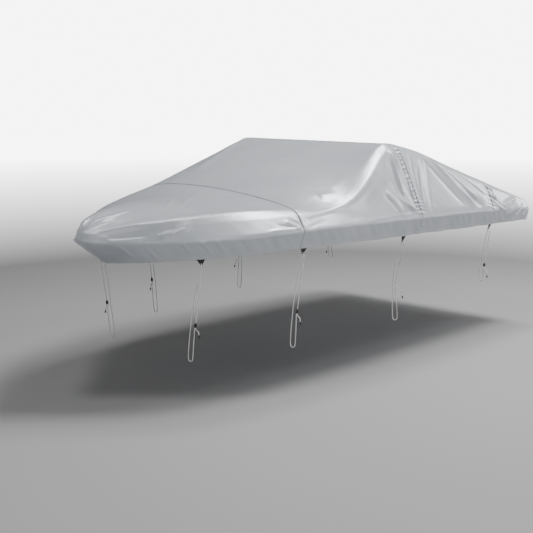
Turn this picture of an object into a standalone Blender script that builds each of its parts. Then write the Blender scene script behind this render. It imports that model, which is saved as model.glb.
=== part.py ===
"""Fitted cover for an open boat, draped as it sits on the boat, with its tie-down ropes.

Metres, +Z up. +X runs to the stern, -Y is the near (port) side. The origin is the mount:
the point under the middle of the cover's highest edge, where the windscreen frame holds it.
"""
import bpy
import bmesh
import math
import numpy as np
from mathutils import Matrix, Vector
from mathutils.bvhtree import BVHTree

# ---------------------------------------------------------------- driving dimensions
CLOTH = 0.002             # thickness of every panel
SEAM_GAP = 0.0005         # between two panels at a seam
GAP = 0.0003              # between other pieces that touch
GRID_X = 0.110            # longest step of a panel's mesh along the boat
GRID_GIRTH = 0.140        # longest step around the boat
DROP_ALL = -0.012         # level of the table's zero above the mount
HEEL = 0.016              # the boat leans this much a metre, the far side higher

# One row for each cross-section, bow to stern. Lengths in metres from the mount.
#  rim:   the fold where the deck part turns down into the skirt
#  top_x: where the section crosses the centreline (sections lean at the bow)
#  lean:  how far from rim_x to top_x the shoulder lies, as a share
#  half:  half breadth at the rim; back, inset: the hem lies aft and inboard of the rim
#  sh:    shoulder, as a share of half; near/far: the port and the starboard side
#  soft:  0.5 is a smooth run of cloth, less is a crease across the boat
STATION_COLUMNS = ("rim_x", "top_x", "lean", "half", "back", "inset", "rim_z", "hem_z", "sh",
                   "near_sh_z", "near_deck_z", "crown_z", "far_deck_z", "far_sh_z", "soft")
STATIONS = (
    (-2.496, -2.44, 0.3, 0.0, 0.258, 0.0, -0.624, -0.822, 0.88, -0.582, -0.548, -0.515, -0.548, -0.582, 0.5),
    (-2.465, -2.4, 0.3, 0.078, 0.222, 0.045, -0.644, -0.818, 0.88, -0.588, -0.53, -0.473, -0.536, -0.594, 0.5),
    (-2.32, -2.25, 0.3, 0.2, 0.13, 0.048, -0.652, -0.807, 0.88, -0.562, -0.474, -0.411, -0.49, -0.575, 0.5),
    (-2.12, -2.05, 0.3, 0.425, 0.06, 0.05, -0.64, -0.785, 0.88, -0.508, -0.438, -0.386, -0.478, -0.555, 0.5),
    (-1.85, -1.78, 0.3, 0.715, 0.02, 0.05, -0.616, -0.756, 0.88, -0.468, -0.418, -0.376, -0.444, -0.508, 0.5),
    (-1.53, -1.46, 0.3, 0.905, 0.0, 0.05, -0.593, -0.733, 0.88, -0.448, -0.399, -0.356, -0.398, -0.458, 0.5),
    (-1.15, -1.08, 0.3, 0.978, 0.0, 0.05, -0.58, -0.718, 0.9, -0.442, -0.396, -0.345, -0.336, -0.382, 0.35),
    (-0.87, -0.8, 0.3, 1.014, 0.0, 0.05, -0.571, -0.717, 0.89, -0.464, -0.335, -0.252, -0.224, -0.302, 0.5),
    (-0.6, -0.55, 0.3, 1.04, 0.0, 0.05, -0.57, -0.721, 0.89, -0.392, -0.258, -0.167, -0.146, -0.215, 0.5),
    (-0.35, -0.32, 0.3, 1.052, 0.0, 0.05, -0.57, -0.725, 0.87, -0.2, -0.145, -0.09, -0.078, -0.125, 0.5),
    (-0.12, -0.11, 0.3, 1.057, 0.0, 0.05, -0.571, -0.729, 0.81, -0.034, -0.034, -0.018, -0.014, -0.02, 0.4),
    (0.0, 0.0, 0.3, 1.058, 0.0, 0.05, -0.572, -0.731, 0.81, 0.024, 0.02, 0.022, 0.022, 0.024, 0.2),
    (0.24, 0.1, 0.9, 1.062, 0.0, 0.05, -0.578, -0.729, 0.81, 0.021, 0.021, 0.022, 0.021, 0.021, 0.3),
    (0.5, 0.42, 0.3, 1.064, 0.0, 0.05, -0.582, -0.735, 0.84, -0.058, -0.034, -0.022, -0.034, -0.058, 0.4),
    (0.95, 0.93, 0.3, 1.066, 0.0, 0.05, -0.586, -0.745, 0.87, -0.212, -0.178, -0.16, -0.178, -0.212, 0.5),
    (1.44, 1.46, 0.3, 1.052, 0.0, 0.048, -0.606, -0.752, 0.89, -0.35, -0.325, -0.308, -0.325, -0.35, 0.4),
    (1.8, 1.82, 0.3, 1.036, 0.0, 0.036, -0.622, -0.756, 0.9, -0.45, -0.43, -0.415, -0.43, -0.45, 0.5),
    (2.05, 2.05, 0.3, 1.026, 0.0, 0.026, -0.634, -0.761, 0.93, -0.524, -0.505, -0.494, -0.505, -0.524, 0.45),
)
# The stern wall's top fold and its hem: x, y and z where the hem, rim, shoulder, deck and
# crown lines cross each
STERN_TOP = ((2.150, 1.000, -0.763), (2.190, 1.020, -0.650), (2.200, 0.975, -0.570),
             (2.190, 0.520, -0.562), (2.190, 0.000, -0.554))
STERN_HEM = ((2.168, 0.986, -0.765), (2.184, 0.952, -0.766), (2.188, 0.800, -0.766),
             (2.188, 0.440, -0.768), (2.188, 0.000, -0.768))
STERN_SOFT = (0.45, 0.3)

DECK_SHARE = 0.60         # the deck line's place, as a share of half
# softness of the lines along the boat: hem, rim, shoulder, deck, crown
LINE_SOFT = (0.0, 0.16, 0.30, 0.5, 0.5)

# Panels: first and last station
PANELS = (
    ("bow_panel", 0, 6),
    ("front_panel", 6, 12),
    ("cockpit_panel", 12, 15),
    ("stern_panel", 15, 19),
)

# Main folds of the near side, and what the far side repeats of them, uneven as they are.
# station and line where each begins, passes and ends; height is out of the cloth
FOLD_COLUMNS = ("station_a", "line_a", "station_b", "line_b", "station_c", "line_c",
                "height", "width")
FOLDS = (
    (11.0, 1.95, 11.15, 1.45, 11.7, 1.08, 0.014, 0.040),
    (11.3, 1.90, 11.5, 1.50, 11.9, 1.12, -0.011, 0.032),
    (9.7, 1.45, 10.5, 1.25, 11.5, 1.12, 0.012, 0.045),
    (12.5, 1.85, 12.5, 1.45, 12.3, 1.06, 0.010, 0.042),
    (12.6, 2.05, 13.5, 1.70, 14.4, 1.12, 0.015, 0.045),
    (13.1, 2.05, 13.9, 1.65, 14.75, 1.22, 0.012, 0.040),
    (13.0, 1.90, 13.7, 1.62, 14.6, 1.10, -0.010, 0.035),
    (10.6, 2.00, 8.9, 1.95, 6.6, 1.93, 0.009, 0.050),
    (10.4, 1.50, 9.0, 1.30, 7.3, 1.25, -0.016, 0.110),
    (0.9, 1.75, 3.3, 2.20, 5.75, 2.15, 0.008, 0.050),
    (3.05, 1.30, 3.4, 1.55, 3.75, 1.80, 0.007, 0.035),
    (15.1, 1.60, 15.3, 1.30, 15.6, 1.05, 0.008, 0.035),
    (15.6, 1.10, 16.1, 1.35, 16.6, 1.60, 0.010, 0.038),
    (7.3, 2.50, 7.6, 2.40, 7.95, 2.30, 0.008, 0.050),
    (10.05, 5.65, 8.4, 5.25, 6.9, 5.00, 0.012, 0.060),
    (12.6, 6.00, 13.8, 6.40, 14.7, 6.90, 0.013, 0.060),
    (11.2, 6.10, 11.5, 6.60, 11.9, 6.92, 0.013, 0.055),
    (2.4, 6.20, 3.8, 6.50, 5.0, 6.80, 0.009, 0.060),
)
# The skirt hangs in shallow waves: length along the boat and depth
SKIRT_WAVES = ((0.43, 0.0030), (0.27, 0.0020))
WAVE_SHIFT = 1.3          # radians that each wave starts after the one before
SKIRT_LINES = (0, 0.5, 1, 7, 7.5, 8)
SKIRT_SHARES = (1, 0.7, 0, 0, 0.7, 1)     # how much of the waves each of those lines has
BOW_CALM = 2.0            # folds and waves begin at the bow over this many stations
FOLD_STEPS = 12           # points along a fold
FOLD_TAPER = 5.0          # a fold rises over the first fifth of its length, and falls so too
FOLD_END = 0.15           # and this share of its height stands at its ends
CREASE_SOFT = (0.05, 0.45)   # a corner between these two gets a row of mesh on both sides
BEYOND = 0.02             # a panel's surface is worked out this far past its ends, in stations

# ---------------------------------------------------------------- ties
TURN_STEPS = 10           # sides of a turned solid
HEM_SAMPLES = 400         # places at which the hem is worked out to find a tie's own
HEM_STATIONS = (1.0, 17.0)
HEM_SPAN = 3              # the hem's direction is taken over this many samples each way
HEM_ABOVE = 0.2           # and its slope from a line this far above it
PROBE_START = 0.05        # the cloth is looked for from this far inboard of the hem's edge
PROBES_ACROSS = 13
PROBES_UP = 5
ROPE = 0.007              # rope diameter
TAB_WIDTH = 0.066
TAB_DROP = 0.052          # the tab's tip below the hem
TAB_LAP = 0.018           # how far the tab runs up behind the hem
TAB_THICK = 0.002
TAB_SHOULDER = 0.004      # the tab is this far above the hem where its sides draw in
TAB_TIP_WIDTH = 0.018
TAB_HOLE = 0.011          # across its corners; the rope bears on its lowest side
HOLE_SIDES = 8
TAB_HOLE_UP = 0.014       # the hole's middle above the tip
CROSSING = 0.0035         # the rope runs straight through the hole, this far each way
BIGHT = 0.012             # then it turns down, this far out from the tab
BIGHT_TURN = 0.008        # below the hole: where the turn ends
BIGHT_FALL = 0.030        # below the hole: where the two strands hang free
FOOT_TURN = 0.023         # radius of the rope's turn round what the tie holds on to
FOOT_POINTS = 5           # points on that half turn
STRAIGHT_END = 0.012      # a rope leaves a lock or a stop straight for this far
STRAND_BOW = 0.004        # the strands between tab and lock bow apart by this
STRAND_LIFT = 0.020       # the inner strand stands off widest this far above the lock
STRAND_STEP = 0.00484     # under a lock the loop and the free end stand this far off its axis
TAIL_BOW = 0.012          # and the free end bows outboard by this
# The part's own points on each stretch of a loop, from the lock round to it again, and of a
# free end, from the lock to its stop
LOOP_STEPS = (1, 3, 2, 1, 2, 1, 2, 1, 2, 3, 3, 2, 2, 2, 2, 3, 1)
TAIL_STEPS = (1, 2, 2, 1)

# Turned solids: width and height, and a profile of radius and height, as shares of the half
# width and the half height, from the top down
LOCK_WIDE = 0.022
LOCK_HIGH = 0.034
LOCK_PROFILE = ((0.0, 1.0), (0.30, 1.0), (0.55, 0.88), (0.60, 0.47), (0.92, 0.35), (1.0, 0.0),
                (0.92, -0.76), (0.70, -1.0), (0.0, -1.0))
STOP_WIDE = 0.013
STOP_HIGH = 0.024
STOP_PROFILE = ((0.0, 1.0), (0.62, 1.0), (0.78, 0.75), (1.0, -0.5), (0.88, -0.92),
                (0.5, -1.0), (0.0, -1.0))
KNOT_WIDE = 0.020
KNOT_HIGH = 0.025
KNOT_PROFILE = ((0.0, 1.0), (0.45, 0.92), (0.80, 0.60), (0.86, 0.28), (1.0, 0.0),
                (0.84, -0.32), (0.90, -0.60), (0.45, -0.92), (0.0, -1.0))

# One row a tie, bow to stern; its drops are measured down from the tab's tip
#  x: the tie's place; foot_in, foot_drop: the lowest point, inboard and down
#  lock_drop: the cord lock or knot; spread: between the two strands
#  tail_out, tail_drop: the free end's stop, outboard of the lock and below it
TIE_COLUMNS = ("x", "foot_in", "foot_drop", "lock_drop", "lock_in", "spread",
               "tail_out", "tail_drop", "holder")
TIES = (
    (-1.864, 0.131, 0.725, 0.444, 0.070, 0.050, 0.032, 0.082, "lock"),
    (-1.121, 0.097, 0.728, 0.440, 0.052, 0.045, 0.028, 0.090, "lock"),
    (0.040, 0.060, 0.671, 0.344, 0.057, 0.030, 0.066, 0.120, "knot"),
    (1.434, 0.063, 0.497, 0.338, 0.029, 0.030, 0.030, 0.112, "lock"),
)

# ---------------------------------------------------------------- scene reset
for old in list(bpy.data.objects):
    bpy.data.objects.remove(old, do_unlink=True)

parts = bpy.data.collections.new("boat_cover")
bpy.context.scene.collection.children.link(parts)


def material(name, colour, roughness, metallic=0.0):
    mat = bpy.data.materials.new(name)
    mat.use_nodes = True
    shader = mat.node_tree.nodes["Principled BSDF"]
    shader.inputs["Base Color"].default_value = (*colour, 1.0)
    shader.inputs["Roughness"].default_value = roughness
    shader.inputs["Metallic"].default_value = metallic
    return mat


# Looks: colour and roughness
CLOTH_LOOK = ((0.50, 0.52, 0.54), 0.45)
WEBBING_LOOK = ((0.012, 0.012, 0.013), 0.85)
ROPE_LOOK = ((0.80, 0.80, 0.78), 0.8)
PLASTIC_LOOK = ((0.015, 0.015, 0.016), 0.4)


# ---------------------------------------------------------------- the draped surface
def table(columns, rows):
    """Rows of a table as dictionaries, so that each value has its column's name."""
    return [dict(zip(columns, row)) for row in rows]


def section_points(row):
    """A station's nine points, near hem to far hem over the top."""
    lean_x = row["top_x"] - row["rim_x"]
    deck_lean = (1 + row["lean"]) / 2
    half = row["half"]
    near = (
        (row["rim_x"] + row["back"], -(half - row["inset"]), row["hem_z"]),
        (row["rim_x"], -half, row["rim_z"]),
        (row["rim_x"] + row["lean"] * lean_x, -half * row["sh"], row["near_sh_z"]),
        (row["rim_x"] + deck_lean * lean_x, -half * DECK_SHARE, row["near_deck_z"]),
    )
    crown = (row["top_x"], 0.0, row["crown_z"])
    far_z = (row["hem_z"], row["rim_z"], row["far_sh_z"], row["far_deck_z"])
    far = [(x, -y, z) for (x, y, _), z in zip(near, far_z)]
    return [*near, crown, *reversed(far)]


def stern_points(line):
    near = [(x, -y, z) for x, y, z in line]
    far = [(x, y, z) for x, y, z in line[:-1]]
    return [*near, *reversed(far)]


stations = table(STATION_COLUMNS, STATIONS)
CAGE = np.array([section_points(row) for row in stations]
                + [stern_points(STERN_TOP), stern_points(STERN_HEM)])
STATION_SOFT = np.array([row["soft"] for row in stations] + list(STERN_SOFT))
ROW_SOFT = np.array(LINE_SOFT + LINE_SOFT[-2::-1])
LAST_STATION = len(STATION_SOFT) - 1
LAST_LINE = len(ROW_SOFT) - 1


def rounded_weights(places, soft):
    """Weights that run straight between a cage's rows and round each corner off.

    A row with softness 0.5 is a smooth curve, and one near 0 is a sharp fold.
    """
    count = len(soft)
    weights = np.zeros((len(places), count))
    for i, place in enumerate(places):
        k = int(min(max(round(place), 0), count - 1))
        reach = soft[k] if 0 < k < count - 1 else 0.0
        if reach > 0 and abs(place - k) < reach:
            s = (place - k + reach) / (2 * reach)
            before = reach * (1 - s) ** 2
            after = reach * s ** 2
            weights[i, k - 1] = before
            weights[i, k] = 1 - before - after
            weights[i, k + 1] = after
        else:
            low = int(min(max(math.floor(place), 0), count - 2))
            weights[i, low] = 1 - (place - low)
            weights[i, low + 1] = place - low
    return weights


def base_surface(us, vs):
    """Points of the smooth cover for lists of station and line places."""
    along = rounded_weights(us, STATION_SOFT)
    across = rounded_weights(vs, ROW_SOFT)
    return np.einsum("ui,vj,ijc->uvc", along, across, CAGE)


def normals(points):
    """Outward unit normals of a grid of points."""
    du = np.gradient(points, axis=0)
    dv = np.gradient(points, axis=1)
    n = np.cross(du, dv)
    length = np.linalg.norm(n, axis=2, keepdims=True)
    return n / np.maximum(length, 1e-9)


def distance_to_path(points, path):
    """Distance to a path and the place along it (0 to 1), for a grid of points."""
    best = np.full(points.shape[:2], 1e9)
    place = np.zeros(points.shape[:2])
    for k in range(len(path) - 1):
        a = path[k]
        step = path[k + 1] - a
        t = np.clip(((points - a) @ step) / max(step @ step, 1e-12), 0, 1)
        gap = np.linalg.norm(points - a - t[..., None] * step, axis=2)
        closer = gap < best
        best = np.where(closer, gap, best)
        place = np.where(closer, (k + t) / (len(path) - 1), place)
    return best, place


def fold_path(fold):
    """A fold's line on the cover, through its three named places."""
    ts = np.linspace(0, 1, FOLD_STEPS)
    a = (1 - ts) * (1 - 2 * ts)
    b = 4 * ts * (1 - ts)
    c = ts * (2 * ts - 1)
    us = a * fold["station_a"] + b * fold["station_b"] + c * fold["station_c"]
    vs = a * fold["line_a"] + b * fold["line_b"] + c * fold["line_c"]
    return np.array([base_surface([u], [v])[0, 0] for u, v in zip(us, vs)])


FOLD_PATHS = [(fold, fold_path(fold)) for fold in table(FOLD_COLUMNS, FOLDS)]


def cover_surface(us, vs):
    """The cover's outer face: the smooth surface with its folds, waves and heel."""
    points = base_surface(us, vs)
    outward = normals(points)
    push = np.zeros(points.shape[:2])
    for fold, path in FOLD_PATHS:
        gap, place = distance_to_path(points, path)
        taper = np.clip(np.minimum(place, 1 - place) * FOLD_TAPER + FOLD_END, 0, 1)
        push += fold["height"] * taper * np.exp(-(gap / fold["width"]) ** 2)
    skirt = np.interp(vs, SKIRT_LINES, SKIRT_SHARES)
    for k, (length, depth) in enumerate(SKIRT_WAVES):
        wave = np.sin(2 * math.pi * points[..., 0] / length + WAVE_SHIFT * k)
        push += depth * wave * skirt[None, :]
    ends = np.clip(np.array(us) / BOW_CALM, 0, 1)
    points = points + outward * (push * ends[:, None])[..., None]
    points[..., 2] += DROP_ALL + HEEL * points[..., 1]
    return points


def grid_places(lengths, soft, first, last, step):
    """Places along one direction of the cage: even steps, and both sides of each fold."""
    low_soft, high_soft = CREASE_SOFT
    places = []
    for k in range(first, last):
        cuts = [float(k), float(k + 1)]
        if low_soft < soft[k] < high_soft:
            cuts.append(k + soft[k])
        if low_soft < soft[k + 1] < high_soft:
            cuts.append(k + 1 - soft[k + 1])
        cuts.sort()
        for low, high in zip(cuts, cuts[1:]):
            pieces = max(1, round((high - low) * lengths[k] / step))
            places.extend(low + (high - low) * i / pieces for i in range(pieces))
    places.append(float(last))
    return places


def cage_steps(axis):
    """The longest distance between neighbouring rows of the cage."""
    steps = np.linalg.norm(np.diff(CAGE, axis=axis), axis=2)
    return steps.max(axis=1 - axis)


ACROSS = grid_places(cage_steps(1), ROW_SOFT, 0, LAST_LINE, GRID_GIRTH)


def pull_in(points, end, distance):
    """Draw one end row of a panel back from its seam."""
    row, inner = (0, 1) if end == 0 else (-1, -2)
    step = points[inner] - points[row]
    step /= np.linalg.norm(step, axis=1, keepdims=True)
    points[row] += step * distance


def panel(name, first, last):
    """One panel of cloth: an open draped sheet, thickened inwards."""
    us = grid_places(cage_steps(0), STATION_SOFT, first, last, GRID_X)
    wide = [us[0] - BEYOND, *us, us[-1] + BEYOND]
    wide = [min(max(u, 0.0), float(LAST_STATION)) for u in wide]
    points = cover_surface(wide, ACROSS)[1:-1]
    if first > 0:
        pull_in(points, 0, SEAM_GAP / 2)
    if last < LAST_STATION:
        pull_in(points, 1, SEAM_GAP / 2)
    bm = bmesh.new()
    rows = [[bm.verts.new(p) for p in line] for line in points]
    for near_row, far_row in zip(rows, rows[1:]):
        for j in range(len(ACROSS) - 1):
            bm.faces.new((near_row[j], near_row[j + 1], far_row[j + 1], far_row[j]))
    bmesh.ops.remove_doubles(bm, verts=bm.verts, dist=1e-5)
    bmesh.ops.recalc_face_normals(bm, faces=bm.faces)
    top = max(bm.faces, key=lambda f: f.calc_center_median().z)
    if top.normal.z < 0:
        bmesh.ops.reverse_faces(bm, faces=bm.faces)
    mesh = bpy.data.meshes.new(name)
    bm.to_mesh(mesh)
    bm.free()
    obj = bpy.data.objects.new(name, mesh)
    parts.objects.link(obj)
    mesh.shade_smooth()
    mesh.materials.append(material(name, *CLOTH_LOOK))
    shell = obj.modifiers.new("cloth", "SOLIDIFY")
    shell.thickness = CLOTH
    shell.offset = -1.0
    shell.use_even_offset = True
    return obj


# ---------------------------------------------------------------- ties
def hem_frame(x, side):
    """The hem's outer edge point at x on one side, and the directions along and down it."""
    us = np.linspace(*HEM_STATIONS, HEM_SAMPLES)
    if side < 0:
        points = cover_surface(us, [0.0, HEM_ABOVE])
        edge, above = points[:, 0], points[:, 1]
    else:
        points = cover_surface(us, [LAST_LINE - HEM_ABOVE, float(LAST_LINE)])
        edge, above = points[:, 1], points[:, 0]
    k = int(np.argmin(np.abs(edge[:, 0] - x)))
    along = Vector(edge[k + HEM_SPAN] - edge[k - HEM_SPAN]).normalized()
    down = Vector(edge[k] - above[k]).normalized()
    down = (down - along * down.dot(along)).normalized()
    return Vector(edge[k]), along, down


def tube(name, route):
    """A rope's own solid along a smooth route."""
    curve = bpy.data.curves.new(name, "CURVE")
    curve.dimensions = "3D"
    curve.bevel_depth = ROPE / 2
    curve.bevel_resolution = 2
    curve.use_fill_caps = True
    spline = curve.splines.new("POLY")
    spline.points.add(len(route) - 1)
    for point, place in zip(spline.points, route):
        point.co = (*place, 1.0)
    obj = bpy.data.objects.new(name, curve)
    parts.objects.link(obj)
    curve.materials.append(material(name, *ROPE_LOOK))
    return obj


def smooth_route(knots, steps):
    """A smooth curve through the route's own points; steps is a count for each stretch."""
    knots = [Vector(k) for k in knots]
    ends = [2 * knots[0] - knots[1], *knots, 2 * knots[-1] - knots[-2]]
    route = []
    for k in range(1, len(ends) - 2):
        a, b, c, d = ends[k - 1:k + 3]
        near = (b - a).length ** 0.5
        mid = (c - b).length ** 0.5
        far = (d - c).length ** 0.5
        out_b = ((b - a) / near - (c - a) / (near + mid) + (c - b) / mid) * mid
        in_c = ((c - b) / mid - (d - b) / (mid + far) + (d - c) / far) * mid
        for i in range(steps[k - 1]):
            t = i / steps[k - 1]
            route.append(b * (2 * t ** 3 - 3 * t ** 2 + 1) + out_b * (t ** 3 - 2 * t ** 2 + t)
                         + c * (3 * t ** 2 - 2 * t ** 3) + in_c * (t ** 3 - t ** 2))
    route.append(knots[-1])
    return route


def cloth_depth(edge, along, down, outward):
    """How far inboard of the hem's edge the cloth reaches where a tab is sewn behind it."""
    nearest = PROBE_START
    for across in np.linspace(-TAB_WIDTH / 2, TAB_WIDTH / 2, PROBES_ACROSS):
        for above in np.linspace(0.0, TAB_LAP, PROBES_UP):
            origin = edge + along * across - down * above - outward * PROBE_START
            for tree in PANEL_TREES:
                distance = tree.ray_cast(origin, outward, 2 * PROBE_START)[3]
                if distance is not None:
                    nearest = min(nearest, distance)
    return PROBE_START - nearest


def tab(name, x, side):
    """A webbing triangle sewn behind the hem, with the hole that the rope runs through.

    Returns the middle of the rope where it lies in the hole, and the way out of the boat.
    """
    edge, along, down = hem_frame(x, side)
    outward = along.cross(down) * (1 if along.cross(down).y * side > 0 else -1)
    half = TAB_WIDTH / 2
    tip = TAB_TIP_WIDTH / 2
    outline = [(-half, TAB_LAP), (half, TAB_LAP), (half, TAB_SHOULDER),
               (tip, -TAB_DROP + tip), (tip / 2, -TAB_DROP), (-tip / 2, -TAB_DROP),
               (-tip, -TAB_DROP + tip), (-half, TAB_SHOULDER)]
    curve = bpy.data.curves.new(name, "CURVE")
    curve.dimensions = "2D"
    curve.fill_mode = "BOTH"
    curve.extrude = TAB_THICK / 2
    rim = curve.splines.new("POLY")
    rim.points.add(len(outline) - 1)
    rim.use_cyclic_u = True
    for point, (u, v) in zip(rim.points, outline):
        point.co = (u, v, 0, 1)
    hole = curve.splines.new("POLY")
    hole.points.add(HOLE_SIDES - 1)
    hole.use_cyclic_u = True
    for k, point in enumerate(hole.points):
        turn = 2 * math.pi * (k + 0.5) / HOLE_SIDES
        point.co = (TAB_HOLE / 2 * math.cos(turn),
                    -TAB_DROP + TAB_HOLE_UP + TAB_HOLE / 2 * math.sin(turn), 0, 1)
    obj = bpy.data.objects.new(name, curve)
    parts.objects.link(obj)
    behind = cloth_depth(edge, along, down, outward) + GAP
    middle = edge - outward * (behind + TAB_THICK / 2)
    up = -down
    frame = Matrix((along, up, along.cross(up))).transposed().to_4x4()
    frame.translation = middle
    obj.matrix_world = frame
    curve.materials.append(material(name, *WEBBING_LOOK))
    rest = TAB_HOLE / 2 * math.cos(math.pi / HOLE_SIDES) - ROPE / 2 - GAP
    return middle + down * (TAB_DROP - TAB_HOLE_UP + rest), outward


def turned(name, profile, wide, high, place, lean, look):
    """A turned solid of a width and height, whose axis follows lean."""
    mesh = bpy.data.meshes.new(name)
    bm = bmesh.new()
    verts = [bm.verts.new((r * wide / 2, 0, z * high / 2)) for r, z in profile]
    for a, b in zip(verts, verts[1:]):
        bm.edges.new((a, b))
    bm.to_mesh(mesh)
    bm.free()
    obj = bpy.data.objects.new(name, mesh)
    parts.objects.link(obj)
    screw = obj.modifiers.new("turn", "SCREW")
    screw.steps = TURN_STEPS
    screw.render_steps = TURN_STEPS
    screw.use_merge_vertices = True
    screw.merge_threshold = 0.0001
    obj.rotation_mode = "QUATERNION"
    obj.rotation_quaternion = Vector((0, 0, 1)).rotation_difference(lean)
    obj.location = place
    mesh.materials.append(material(name, *look))
    return obj


# What closes a tie: its profile, width, height and look
HOLDERS = {
    "lock": (LOCK_PROFILE, LOCK_WIDE, LOCK_HIGH, PLASTIC_LOOK),
    "knot": (KNOT_PROFILE, KNOT_WIDE, KNOT_HIGH, ROPE_LOOK),
}


def half_turn(lowest, inboard, drop):
    """Points of the loop's round lower end, from its inboard to its outboard side."""
    centre = lowest - drop * FOOT_TURN
    turns = np.linspace(0, math.pi, FOOT_POINTS)
    return [centre + (inboard * math.cos(a) + drop * math.sin(a)) * FOOT_TURN for a in turns]


def tie(number, row, side):
    """One tie: tab, rope loop, cord lock or knot, tail and end stop."""
    tag = ("port" if side < 0 else "starboard") + f"_{number}"
    hole, outward = tab(f"tab_{tag}", row["x"], side)
    inboard = Vector((0, -side, 0))
    tip = hole + Vector((0, 0, -TAB_HOLE_UP))
    drop = Vector((0, 0, -1))
    foot = tip + inboard * row["foot_in"] + drop * row["foot_drop"]
    run = (foot - tip).normalized()
    lock_at = tip + inboard * row["lock_in"] + drop * row["lock_drop"]
    profile, holder_wide, holder_high, look = HOLDERS[row["holder"]]
    lock_top = lock_at - run * (holder_high / 2 + GAP)
    lock_end = lock_at + run * (holder_high / 2 + GAP)
    inner = lock_at + inboard * row["spread"] - run * STRAND_LIFT
    bight_out = hole + outward * BIGHT
    bight_in = hole - outward * BIGHT
    side_step = Vector((STRAND_STEP, 0, 0))
    knots = [
        lock_top,
        lock_top - run * STRAIGHT_END,
        lock_top.lerp(bight_out, 0.5) + outward * STRAND_BOW,
        bight_out + drop * BIGHT_FALL,
        bight_out + drop * BIGHT_TURN,
        hole + outward * CROSSING,
        hole - outward * CROSSING,
        bight_in + drop * BIGHT_TURN,
        bight_in + drop * BIGHT_FALL,
        inner.lerp(bight_in, 0.5) + inboard * STRAND_BOW,
        inner,
        *half_turn(foot, inboard, drop),
        lock_end - side_step + run * STRAIGHT_END,
        lock_end - side_step,
    ]
    tube(f"rope_{tag}", smooth_route(knots, LOOP_STEPS))
    turned(f"{row['holder']}_{tag}", profile, holder_wide, holder_high, lock_at, -run, look)
    tail_start = lock_end + side_step
    stop_at = lock_at - inboard * row["tail_out"] + drop * row["tail_drop"] + side_step
    bend = tail_start.lerp(stop_at, 0.5) - inboard * TAIL_BOW
    fall = (stop_at - bend).normalized()
    stop_top = stop_at - fall * (STOP_HIGH / 2 + GAP)
    knots = [tail_start, tail_start + run * STRAIGHT_END, bend, stop_top - fall * STRAIGHT_END,
             stop_top]
    tube(f"tail_{tag}", smooth_route(knots, TAIL_STEPS))
    turned(f"stop_{tag}", STOP_PROFILE, STOP_WIDE, STOP_HIGH, stop_at, -fall, PLASTIC_LOOK)


panels = [panel(*row) for row in PANELS]
bpy.context.view_layer.update()
depsgraph = bpy.context.evaluated_depsgraph_get()
PANEL_TREES = [BVHTree.FromObject(cloth, depsgraph) for cloth in panels]
for tie_number, tie_row in enumerate(table(TIE_COLUMNS, TIES), start=1):
    for hull_side in (-1, 1):
        tie(tie_number, tie_row, hull_side)
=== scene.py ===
"""The looks of the boat cover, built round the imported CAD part.

Metres, in the part's frame: +X runs to the stern, -Y is the near (port) side, +Z up, and
the origin lies under the middle of the cover's highest edge.
"""
import math

import bpy
import numpy as np
from mathutils import Matrix, Vector
from mathutils.bvhtree import BVHTree


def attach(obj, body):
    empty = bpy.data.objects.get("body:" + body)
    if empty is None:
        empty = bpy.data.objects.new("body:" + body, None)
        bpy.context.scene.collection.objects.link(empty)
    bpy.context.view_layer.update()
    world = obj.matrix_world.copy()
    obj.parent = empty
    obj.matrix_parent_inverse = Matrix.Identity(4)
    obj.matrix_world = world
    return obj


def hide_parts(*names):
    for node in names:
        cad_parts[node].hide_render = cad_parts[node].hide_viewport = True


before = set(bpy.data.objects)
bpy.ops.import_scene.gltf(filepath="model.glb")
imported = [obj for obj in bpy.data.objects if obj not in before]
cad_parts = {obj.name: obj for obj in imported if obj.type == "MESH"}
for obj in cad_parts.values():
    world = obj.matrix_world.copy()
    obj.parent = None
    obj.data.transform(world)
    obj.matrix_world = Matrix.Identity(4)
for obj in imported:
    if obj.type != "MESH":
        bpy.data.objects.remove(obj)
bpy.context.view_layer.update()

# ---- camera
PHOTO_PX = 533.0          # the photograph's side
FOCAL_PX = 900.0
SENSOR_MM = 36.0
CAMERA_AT = (-6.0837, -5.2989, 0.2114)
CAMERA_YAW = 0.7634       # radians from +X towards +Y
CAMERA_PITCH = 0.1644     # radians below level
GROUND_Z = -1.868         # the ground under the trailer in the photograph


def add_object(name, data):
    obj = bpy.data.objects.new(name, data)
    bpy.context.scene.collection.objects.link(obj)
    return obj


def aim(obj, place, direction):
    obj.location = place
    obj.rotation_mode = "QUATERNION"
    obj.rotation_quaternion = direction.to_track_quat("-Z", "Y")


def make_camera():
    data = bpy.data.cameras.new("camera")
    data.sensor_width = SENSOR_MM
    data.lens = SENSOR_MM * FOCAL_PX / PHOTO_PX
    camera = add_object("camera", data)
    level = math.cos(CAMERA_PITCH)
    aim(camera, CAMERA_AT, Vector((math.cos(CAMERA_YAW) * level, math.sin(CAMERA_YAW) * level,
                                   -math.sin(CAMERA_PITCH))))
    bpy.context.scene.camera = camera


make_camera()

# ---- the part's own sizes
GAP = 0.0003              # between pieces that touch
DROP_ALL = -0.012         # the whole cover is set down by this much
HEEL = 0.016              # and its far side stands higher, per metre out
STATION_COLUMNS = ("rim_x", "top_x", "lean", "half", "back", "inset", "rim_z", "hem_z", "sh",
                   "near_sh_z", "near_deck_z", "crown_z", "far_deck_z", "far_sh_z", "soft")
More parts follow.
